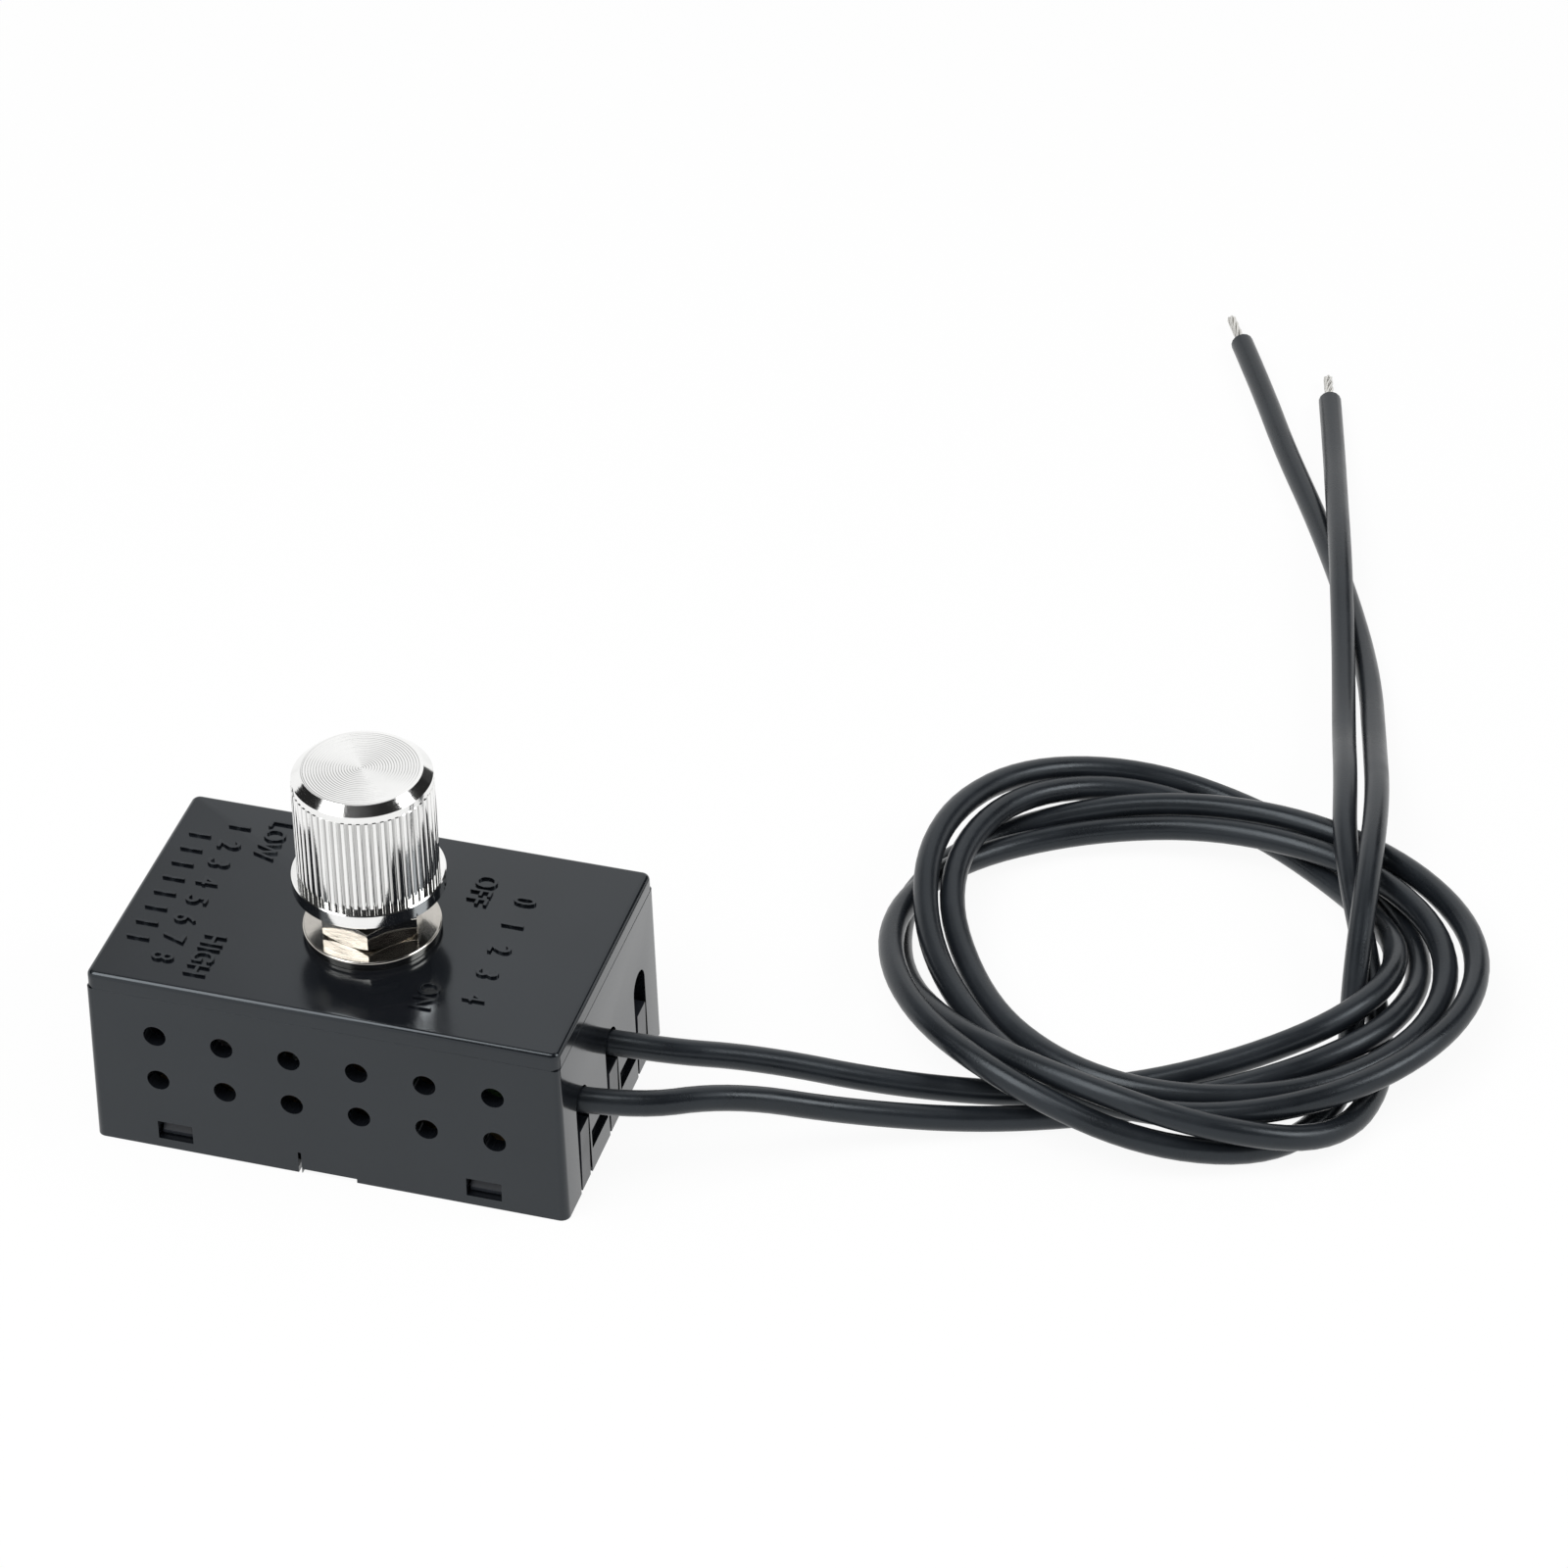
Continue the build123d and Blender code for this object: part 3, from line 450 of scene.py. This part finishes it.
def plated_material(name, colour, roughness, node):
    """Plated steel or brass with faint turning lines about a node's middle."""
    material, tree, shader, place = empty_material(name)
    rings = add_group(tree, "Turning Lines", centred(tree, place, node), Ring_Scale=1500.0)
    grain = add_group(tree, "Moulded Grain", place, Grain_Scale=4800.0, Blotch_Scale=420.0)
    tone = mix_colours(tree, grain.outputs["Blotch"], scaled(colour, 0.86), scaled(colour, 1.06))
    tree.links.new(tone, shader.inputs["Base Color"])
    gloss = map_to(tree, grain.outputs["Blotch"], roughness * 0.7, roughness * 1.4)
    tree.links.new(gloss, shader.inputs["Roughness"])
    lines = bump(tree, rings.outputs["Height"], 0.006 * MM)
    tree.links.new(bump(tree, grain.outputs["Height"], 0.003 * MM, lines), shader.inputs["Normal"])
    shader.inputs["Metallic"].default_value = 1.0
    return material


def wire_jacket_material():
    """Satin black jacket with a fine drawn grain and a little dust."""
    return grained_material(
        "wire jacket", tuple(settings().wire_colour), 0.3,
        grain_scale=3200.0, grain_depth=0.012 * MM, blotch_scale=160.0, blotch_amount=0.25,
        roughness_spread=0.06, ior=1.46, sheen=COOL_SHEEN,
    )


def banded_material():
    """Lacquered resistor body with coloured rings along X."""
    material, tree, shader, place = empty_material("resistor lacquer")
    split = tree.nodes.new("ShaderNodeSeparateXYZ")
    tree.links.new(centred(tree, place, "resistors"), split.inputs["Vector"])
    ramp = tree.nodes.new("ShaderNodeValToRGB")
    ramp.color_ramp.interpolation = "CONSTANT"
    half_length = 3.2 * MM
    body = (0.62, 0.47, 0.3, 1)
    bands = (
        (0.0, body), (0.27, (0.25, 0.09, 0.03, 1)), (0.33, body), (0.4, (0.01, 0.01, 0.01, 1)),
        (0.46, body), (0.53, (0.7, 0.3, 0.02, 1)), (0.59, body), (0.68, (0.6, 0.42, 0.1, 1)),
        (0.74, body),
    )
    for index, (place_along, colour) in enumerate(bands):
        stop = ramp.color_ramp.elements[index] if index < 2 else ramp.color_ramp.elements.new(place_along)
        stop.position = place_along
        stop.color = colour
    along = tree.nodes.new("ShaderNodeMapRange")
    along.inputs["From Min"].default_value = -half_length
    along.inputs["From Max"].default_value = half_length
    tree.links.new(split.outputs["X"], along.inputs["Value"])
    tree.links.new(along.outputs["Result"], ramp.inputs["Fac"])
    tree.links.new(ramp.outputs["Color"], shader.inputs["Base Color"])
    grain = add_group(tree, "Moulded Grain", place, Grain_Scale=3000.0, Blotch_Scale=300.0)
    tree.links.new(map_to(tree, grain.outputs["Blotch"], 0.2, 0.35), shader.inputs["Roughness"])
    tree.links.new(bump(tree, grain.outputs["Height"], 0.01 * MM), shader.inputs["Normal"])
    return material


def board_material():
    """Pressed paper board: warm brown, with long fibres."""
    material, tree, shader, place = empty_material("pressed board")
    stretch = tree.nodes.new("ShaderNodeMapping")
    stretch.inputs["Scale"].default_value = (1.0, 6.0, 6.0)
    tree.links.new(place, stretch.inputs["Vector"])
    along = stretch.outputs["Vector"]
    fibre = add_group(tree, "Moulded Grain", along, Grain_Scale=700.0, Blotch_Scale=160.0)
    tone = mix_colours(tree, fibre.outputs["Blotch"], (0.3, 0.2, 0.09), (0.46, 0.33, 0.16))
    tree.links.new(tone, shader.inputs["Base Color"])
    tree.links.new(map_to(tree, fibre.outputs["Blotch"], 0.5, 0.65), shader.inputs["Roughness"])
    tree.links.new(bump(tree, fibre.outputs["Height"], 0.02 * MM), shader.inputs["Normal"])
    return material


def dress_node(node, material):
    """Gives a CAD node that stays a finished material."""
    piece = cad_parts[node]
    piece.data.materials.clear()
    piece.data.materials.append(material)


# Stage


def white_ray_factor(tree):
    """1 for rays that should see plain white: from the camera, off gloss and through glass."""
    rays = tree.nodes.new("ShaderNodeLightPath")
    either = tree.nodes.new("ShaderNodeMath")
    either.operation = "MAXIMUM"
    every = tree.nodes.new("ShaderNodeMath")
    every.operation = "MAXIMUM"
    tree.links.new(rays.outputs["Is Camera Ray"], either.inputs[0])
    tree.links.new(rays.outputs["Is Glossy Ray"], either.inputs[1])
    tree.links.new(either.outputs["Value"], every.inputs[0])
    tree.links.new(rays.outputs["Is Transmission Ray"], every.inputs[1])
    return every.outputs["Value"]


def make_world(light_level):
    """White to look at, and a softer white to light by."""
    world = bpy.data.worlds.new("studio")
    world.use_nodes = True
    tree = world.node_tree
    background = tree.nodes["Background"]
    background.inputs["Color"].default_value = (1, 1, 1, 1)
    strength = map_to(tree, white_ray_factor(tree), light_level, 1.0)
    tree.links.new(strength, background.inputs["Strength"])
    bpy.context.scene.world = world


def make_floor(white_share):
    """A wide pale floor that keeps a faint shadow."""
    material = bpy.data.materials.new("studio floor")
    material.use_nodes = True
    tree = material.node_tree
    shader = tree.nodes["Principled BSDF"]
    shader.inputs["Base Color"].default_value = (0.86, 0.86, 0.86, 1)
    shader.inputs["Roughness"].default_value = 0.9
    shader.inputs["Specular IOR Level"].default_value = 0.0
    white = tree.nodes.new("ShaderNodeEmission")
    white.inputs["Color"].default_value = (1, 1, 1, 1)
    mix = tree.nodes.new("ShaderNodeMixShader")
    share = map_to(tree, white_ray_factor(tree), 0.0, white_share)
    tree.links.new(share, mix.inputs["Fac"])
    tree.links.new(shader.outputs["BSDF"], mix.inputs[1])
    tree.links.new(white.outputs["Emission"], mix.inputs[2])
    tree.links.new(mix.outputs["Shader"], tree.nodes["Material Output"].inputs["Surface"])
    bm = bmesh.new()
    bmesh.ops.create_circle(bm, cap_ends=True, segments=96, radius=6.0)
    floor = mesh_object("studio_floor", bm, material)


def make_lamp(name, place, size, energy):
    """A soft square lamp that points at the middle of the object."""
    data = bpy.data.lights.new(name, "AREA")
    data.size = size
    data.energy = energy
    lamp = bpy.data.objects.new(name, data)
    bpy.context.scene.collection.objects.link(lamp)
    lamp.location = place
    lamp.rotation_euler = (Vector(LAMP_TARGET) - Vector(place)).to_track_quat("-Z", "Y").to_euler()


def make_card(middle, name, bearing, rise, distance, width, height, tone, far_tone):
    """A card that only polished surfaces see, hung at a bearing and a rise (degrees) from a middle.

    Its tone runs to the far tone at the side with the larger bearing.
    """
    material = bpy.data.materials.new(name)
    material.use_nodes = True
    tree = material.node_tree
    glow = tree.nodes.new("ShaderNodeEmission")
    tones = tree.nodes.new("ShaderNodeVertexColor")
    tones.layer_name = "tone"
    tree.links.new(tones.outputs["Color"], glow.inputs["Color"])
    tree.links.new(glow.outputs["Emission"], tree.nodes["Material Output"].inputs["Surface"])
    across = math.cos(math.radians(rise))
    away = Vector((
        across * math.cos(math.radians(bearing)),
        across * math.sin(math.radians(bearing)),
        math.sin(math.radians(rise)),
    ))
    turn = (-away).to_track_quat("-Z", "Y").to_matrix().to_4x4()
    size = Matrix.Diagonal((width, height, 1, 1))
    hung = Matrix.Translation(middle + away * distance) @ turn @ size
    bm = bmesh.new()
    bmesh.ops.create_grid(bm, x_segments=1, y_segments=1, size=0.5)
    bmesh.ops.transform(bm, matrix=hung, verts=bm.verts)
    layer = bm.verts.layers.float_color.new("tone")
    sideways = Vector((-away.y, away.x, 0))
    for vert in bm.verts:
        far = (vert.co - middle).dot(sideways) > 0
        shade = far_tone if far else tone
        vert[layer] = (shade, shade, shade, 1)
    card = mesh_object(name.replace(" ", "_"), bm, material)
    card.visible_camera = False
    card.visible_diffuse = False
    card.visible_shadow = False
    card.visible_transmission = False


def make_camera():
    """The view of the photograph."""
    data = bpy.data.cameras.new("photo view")
    data.lens = CAMERA_LENS
    data.sensor_fit = "HORIZONTAL"
    data.sensor_width = SENSOR_WIDTH
    data.clip_start = 0.01
    data.clip_end = 20.0
    camera = bpy.data.objects.new("photo view", data)
    bpy.context.scene.collection.objects.link(camera)
    right = Vector(CAMERA_RIGHT).normalized()
    up = (Vector(CAMERA_UP) - right * right.dot(Vector(CAMERA_UP))).normalized()
    turn = Matrix((right, up, right.cross(up))).transposed().to_4x4()
    camera.matrix_world = Matrix.Translation(CAMERA_PLACE) @ turn
    bpy.context.scene.camera = camera


class DIMMER_OT_stage(bpy.types.Operator):
    """Sets the camera, the floor, the lamps and the white surroundings"""

    bl_idname = "dimmer.stage"
    bl_label = "Stage"

    def execute(self, context):
        context.scene.view_settings.view_transform = "Standard"
        make_camera()
        make_world(light_level=0.35)
        make_floor(white_share=0.93)
        make_lamp("key lamp", place=(-0.19, -0.36, 0.84), size=0.75, energy=8.0)
        make_lamp("side lamp", place=(0.6, 0.1, 0.5), size=0.3, energy=1.5)
        middle = node_centre("knob")
        for card in STUDIO_CARDS:
            make_card(middle, *card)
        return {"FINISHED"}


# Wires


def wire_spline(name, route, material):
    """One smooth open curve with the route's points as its control points."""
    curve = bpy.data.curves.new(name, "CURVE")
    curve.dimensions = "3D"
    curve.resolution_u = 8
    curve.bevel_depth = settings().wire_diameter / 2
    curve.bevel_resolution = 6
    curve.use_fill_caps = True
    spline = curve.splines.new("NURBS")
    spline.points.add(len(route) - 1)
    for point, place in zip(spline.points, route):
        point.co = (*(Vector(place) * MM), 1)
    spline.order_u = 3
    spline.use_endpoint_u = True
    return new_object(name, curve, material)


def twisted_strands(name, route, length, material):
    """The stripped end of a wire: six strands twisted about a straight one."""
    start = Vector(route[-1]) * MM
    along = (start - Vector(route[-2]) * MM).normalized()
    strand = settings().strand_diameter / 2
    turn = along.to_track_quat("Z", "Y").to_matrix().to_4x4()
    outer_count = 6
    outer_radius = 1.98 * strand
    twist = math.radians(210)
    steps = 18
    bm = bmesh.new()
    for index in range(outer_count + 1):
        offset = 0 if index == outer_count else outer_radius
        angle = math.tau * index / outer_count
        ring = bmesh.ops.create_circle(bm, cap_ends=True, segments=10, radius=strand)["verts"]
        bmesh.ops.translate(
            bm, vec=(offset * math.cos(angle), offset * math.sin(angle), 0), verts=ring
        )
        faces = list({face for vert in ring for face in vert.link_faces})
        bmesh.ops.spin(
            bm, geom=faces, cent=(0, 0, 0), axis=(0, 0, 1), dvec=(0, 0, length / steps),
            angle=twist, steps=steps, use_duplicate=False,
        )
    bmesh.ops.transform(bm, matrix=Matrix.Translation(start) @ turn, verts=bm.verts)
    return mesh_object(name, bm, material, smooth_angle=50)


class DIMMER_OT_wires(bpy.types.Operator):
    """Lays the two hook-up wires and their stripped, tinned ends"""

    bl_idname = "dimmer.wires"
    bl_label = "Wires"

    def execute(self, context):
        jacket = wire_jacket_material()
        tinned = grained_material(
            "tinned strands", (0.72, 0.71, 0.68), 0.3, metallic=1.0, grain_scale=2500.0,
            grain_depth=0.02 * MM, blotch_scale=500.0, blotch_amount=0.15,
        )
        for name, route in WIRE_ROUTES.items():
            tip_name = f"{name}_tip"
            low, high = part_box(tip_name)
            tip_length = TIP_SHARE * (Vector(high) - Vector(low)).length
            wire = wire_spline(f"{name}_jacket", route, jacket)
            link_slot(wire, "casing")
            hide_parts(name)
            tip = twisted_strands(f"{name}_strands", route, tip_length, tinned)
            link_slot(tip, "casing")
            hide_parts(tip_name)
        return {"FINISHED"}


# Casing and base plate


class DIMMER_OT_casing(bpy.types.Operator):
    """Finishes the moulded casing and the base plate that snaps into it"""

    bl_idname = "dimmer.casing"
    bl_label = "Casing and base plate"

    def execute(self, context):
        plastic = casing_material()
        shell = merged_copy("casing", "casing_shell", plastic)
        soften_edges(shell, settings().edge_softness)
        link_slot(shell, "casing")
        plate_plastic = grained_material(
            "base plate plastic", scaled(tuple(settings().casing_colour), 3.0), 0.3,
            grain_scale=2600.0, grain_depth=0.008 * MM, blotch_scale=90.0,
        )
        plate = merged_copy("base_plate", "base_plate_floor", plate_plastic)
        soften_edges(plate, settings().edge_softness * 0.6)
        link_slot(plate, "casing")
        return {"FINISHED"}


def raised_words(name, words, place, height, material):
    """Raised words that stand on the casing's top, made a mesh."""
    text = bpy.data.curves.new(name, "FONT")
    text.body = words
    text.size = 3.5 * MM
    text.extrude = height / 2
    text.bevel_depth = height * 0.12
    text.align_x = "CENTER"
    text.align_y = "CENTER"
    text.space_character = 1.1
    text.resolution_u = 3
    letters = bpy.data.objects.new(name, text)
    bpy.context.scene.collection.objects.link(letters)
    bpy.context.view_layer.update()
    mesh = bpy.data.meshes.new_from_object(letters.evaluated_get(bpy.context.evaluated_depsgraph_get()))
    bpy.data.objects.remove(letters)
    narrow = Matrix.Diagonal((0.78, 1, 1, 1))
    quarter_turn = Matrix.Rotation(-math.pi / 2, 4, "Z")
    mesh.transform(Matrix.Translation(place) @ quarter_turn @ narrow)
    piece = new_object(name, mesh, material)
    link_slot(piece, "casing")


class DIMMER_OT_marks(bpy.types.Operator):
    """Raises the plain marks on the casing's top: a scale of numbers, and which way is off"""

    bl_idname = "dimmer.marks"
    bl_label = "Raised marks"

    def execute(self, context):
        plastic = bpy.data.materials["casing plastic"]
        height = settings().mark_height
        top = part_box("casing")[1][2]
        rows = (
            ("marks_low_high", "LOW               HIGH", -15.0 * MM, 0.0),
            ("marks_numbers", "1  2  3  4  5  6  7  8", -19.2 * MM, 0.0),
            ("marks_ticks", "I  I  I  I  I  I  I  I", -22.9 * MM, 0.0),
            ("marks_off_on", "OFF               ON", 9.6 * MM, -1.0 * MM),
            ("marks_steps", "0   1   2   3   4", 14.6 * MM, -1.0 * MM),
        )
        for name, words, x, y in rows:
            raised_words(name, words, (x, y, top + height / 2), height, plastic)
        return {"FINISHED"}


# Knob and hardware


def knob_face(material):
    """The turned top of the knob: fine ridges from the middle to the chamfer."""
    knob_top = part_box("knob")[1][2]
    centre = node_centre("knob")
    face_radius = 6.36 * MM
    ridges = 22
    steps_each = 4
    depth = 0.032 * MM
    lift = 0.04 * MM
    bm = bmesh.new()
    count = ridges * steps_each
    profile = [bm.verts.new((0, 0, knob_top + lift))]
    for index in range(1, count + 1):
        wave = math.cos(math.tau * index / steps_each) - 1
        rim = index == count
        z = knob_top if rim else knob_top + lift + depth * wave / 2
        profile.append(bm.verts.new((face_radius * index / count, 0, z)))
    for first, second in zip(profile, profile[1:]):
        bm.edges.new((first, second))
    bmesh.ops.spin(
        bm, geom=list(bm.verts) + list(bm.edges), cent=(0, 0, 0), axis=(0, 0, 1), dvec=(0, 0, 0),
        angle=math.tau, steps=96, use_merge=True, use_duplicate=False,
    )
    bmesh.ops.remove_doubles(bm, verts=bm.verts, dist=1e-8)
    bmesh.ops.translate(bm, vec=(centre.x, centre.y, 0), verts=bm.verts)
    bmesh.ops.recalc_face_normals(bm, faces=bm.faces)
    if sum(face.normal.z for face in bm.faces) < 0:
        bmesh.ops.reverse_faces(bm, faces=bm.faces)
    for face in bm.faces:
        face.smooth = True
    mesh = bpy.data.meshes.new("knob_face")
    bm.to_mesh(mesh)
    bm.free()
    piece = new_object("knob_face", mesh, material)
    link_slot(piece, "knob")


class DIMMER_OT_knob(bpy.types.Operator):
    """Finishes the fluted knob and its turned face"""

    bl_idname = "dimmer.knob"
    bl_label = "Knob"

    def execute(self, context):
        metal = bright_knob_material()
        barrel = merged_copy("knob", "knob_barrel", metal, smooth_angle=40)
        link_slot(barrel, "knob")
        knob_face(metal)
        insert = grained_material("knob insert", (0.03, 0.03, 0.032), 0.45)
        dress_node("knob_insert", insert)
        turned = plated_material("turned shaft", (0.78, 0.78, 0.79), 0.28, "pot_shaft")
        dress_node("pot_shaft", turned)
        dress_node("pot_wiper", grained_material("wiper plastic", (0.7, 0.69, 0.65), 0.5))
        return {"FINISHED"}


def bushing_thread(material):
    """The thread on the part of the bushing that stands out of the nut."""
    bushing_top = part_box("pot_bushing")[1][2]
    nut_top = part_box("hex_nut")[1][2]
    centre = node_centre("pot_bushing")
    root_radius = 3.45 * MM
    crest_radius = 3.66 * MM
    pitch = 0.75 * MM
    half_width = 0.28 * pitch
    start = nut_top + 0.3 * pitch
    end_margin = 0.5 * MM
    turns = (bushing_top - end_margin - nut_top) / pitch
    steps_per_turn = 36
    steps = int(steps_per_turn * turns)
    bm = bmesh.new()
    corners = ((root_radius, half_width), (crest_radius, 0), (root_radius, -half_width))
    ring = [bm.verts.new((x, 0, start + z)) for x, z in corners]
    face = bm.faces.new(ring)
    bmesh.ops.spin(
        bm, geom=[face], cent=(0, 0, 0), axis=(0, 0, 1), dvec=(0, 0, turns * pitch / steps),
        angle=math.tau * turns, steps=steps, use_duplicate=False,
    )
    bmesh.ops.translate(bm, vec=(centre.x, centre.y, 0), verts=bm.verts)
    piece = mesh_object("bushing_thread", bm, material, smooth_angle=30)
    link_slot(piece, "casing")


class DIMMER_OT_hardware(bpy.types.Operator):
    """Finishes the nut, the washers and the threaded bushing"""

    bl_idname = "dimmer.hardware"
    bl_label = "Nut, washers and bushing"

    def execute(self, context):
        plating = tuple(settings().plating_colour)
        nickel = plated_material("nickel plating", plating, 0.09, "hex_nut")
        nut = merged_copy("hex_nut", "nut_body", nickel)
        soften_edges(nut, 0.12 * MM)
        link_slot(nut, "casing")
        # The washers take a darker copy of the nut's plating: painted shade for the darker reflections on
        # their faces
        steel = plated_material("washer plating with painted shade", scaled(plating, 0.8), 0.12, "flat_washer")
        for node in ("flat_washer", "lock_washer"):
            ring = merged_copy(node, f"{node}_ring", steel)
            soften_edges(ring, 0.08 * MM)
            link_slot(ring, "casing")
        sleeve = merged_copy("pot_bushing", "bushing_sleeve", nickel)
        link_slot(sleeve, "casing")
        bushing_thread(nickel)
        return {"FINISHED"}


# Parts inside


def copper_turns(material):
    """The choke's winding: one layer of enamelled turns between the flanges."""
    low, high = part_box("choke_winding")
    centre = node_centre("choke_winding")
    outer = (high[0] - low[0]) / 2
    wire = 0.3 * MM
    turns = int((high[2] - low[2]) / (2 * wire))
    steps_per_turn = 28
    steps = turns * steps_per_turn
    bm = bmesh.new()
    ring = bmesh.ops.create_circle(bm, cap_ends=True, segments=8, radius=wire)["verts"]
    bmesh.ops.rotate(bm, cent=(0, 0, 0), matrix=Matrix.Rotation(math.pi / 2, 3, "X"), verts=ring)
    bmesh.ops.translate(bm, vec=(outer - wire, 0, low[2] + wire), verts=ring)
    rise = high[2] - low[2] - 2 * wire
    bmesh.ops.spin(
        bm, geom=list(bm.faces), cent=(0, 0, 0), axis=(0, 0, 1), dvec=(0, 0, rise / steps),
        angle=math.tau * turns, steps=steps, use_duplicate=False,
    )
    bmesh.ops.translate(bm, vec=(centre.x, centre.y, 0), verts=bm.verts)
    piece = mesh_object("choke_turns", bm, material, smooth_angle=50)
    link_slot(piece, "casing")


class DIMMER_OT_inside(bpy.types.Operator):
    """Gives the parts inside the casing, seen through its vents, their own finishes"""

    bl_idname = "dimmer.inside"
    bl_label = "Parts inside"

    def execute(self, context):
        tinned = grained_material(
            "tinned leads", (0.7, 0.69, 0.66), 0.35, metallic=1.0, grain_scale=2500.0
        )
        zinc = plated_material("zinc plating", (0.6, 0.6, 0.58), 0.3, "pot_cover")
        copper = grained_material(
            "enamelled copper", (0.62, 0.25, 0.1), 0.25, metallic=1.0, blotch_scale=300.0
        )
        finishes = {
            "circuit_board": board_material(),
            "lead_lugs": tinned,
            "solder_joints": grained_material("solder", (0.58, 0.58, 0.58), 0.3, metallic=1.0),
            "pot_cover": zinc,
            "pot_wafer": grained_material("wafer board", (0.24, 0.14, 0.06), 0.55, blotch_scale=400.0),
            "pot_terminals": tinned,
            "switch_block": grained_material("switch plastic", (0.05, 0.05, 0.052), 0.42),
            "switch_pins": tinned,
            "heat_sink": grained_material("drawn aluminium", (0.66, 0.66, 0.67), 0.38, metallic=1.0),
            "triac": grained_material("package epoxy", (0.035, 0.035, 0.038), 0.55, blotch_scale=500.0),
            "triac_screw": zinc,
            "film_capacitor": grained_material("capacitor case", (0.78, 0.5, 0.05), 0.3),
            "small_capacitor": grained_material("dipped coating", (0.16, 0.32, 0.13), 0.28),
            "choke_core": grained_material("ferrite", (0.05, 0.05, 0.052), 0.6, blotch_scale=600.0),
            "choke_winding": copper,
            "resistors": banded_material(),
            "diac": grained_material("trigger diode", (0.5, 0.16, 0.06), 0.15),
        }
        for node, material in finishes.items():
            dress_node(node, material)
        copper_turns(copper)
        return {"FINISHED"}


class DIMMER_PT_panel(bpy.types.Panel):
    """The dimmer's settings and pieces"""

    bl_idname = "DIMMER_PT_panel"
    bl_label = "Rotary dimmer"
    bl_space_type = "VIEW_3D"
    bl_region_type = "UI"
    bl_category = "Dimmer"

    def draw(self, context):
        for name in DimmerSettings.__annotations__:
            self.layout.prop(context.scene.dimmer_settings, name)
        for operator in PIECE_OPERATORS:
            self.layout.operator(operator.bl_idname)


PIECE_OPERATORS = (
    DIMMER_OT_stage,
    DIMMER_OT_wires,
    DIMMER_OT_casing,
    DIMMER_OT_marks,
    DIMMER_OT_knob,
    DIMMER_OT_hardware,
    DIMMER_OT_inside,
)
CLASSES = (DimmerSettings, *PIECE_OPERATORS, DIMMER_PT_panel)


def register():
    for cls in CLASSES:
        bpy.utils.register_class(cls)
    bpy.types.Scene.dimmer_settings = bpy.props.PointerProperty(type=DimmerSettings)


def unregister():
    del bpy.types.Scene.dimmer_settings
    for cls in reversed(CLASSES):
        bpy.utils.unregister_class(cls)


def main():
    register()
    bpy.ops.dimmer.stage()
    bpy.ops.dimmer.wires()
    bpy.ops.dimmer.casing()
    bpy.ops.dimmer.marks()
    bpy.ops.dimmer.knob()
    bpy.ops.dimmer.hardware()
    bpy.ops.dimmer.inside()


if __name__ == "__main__":
    main()
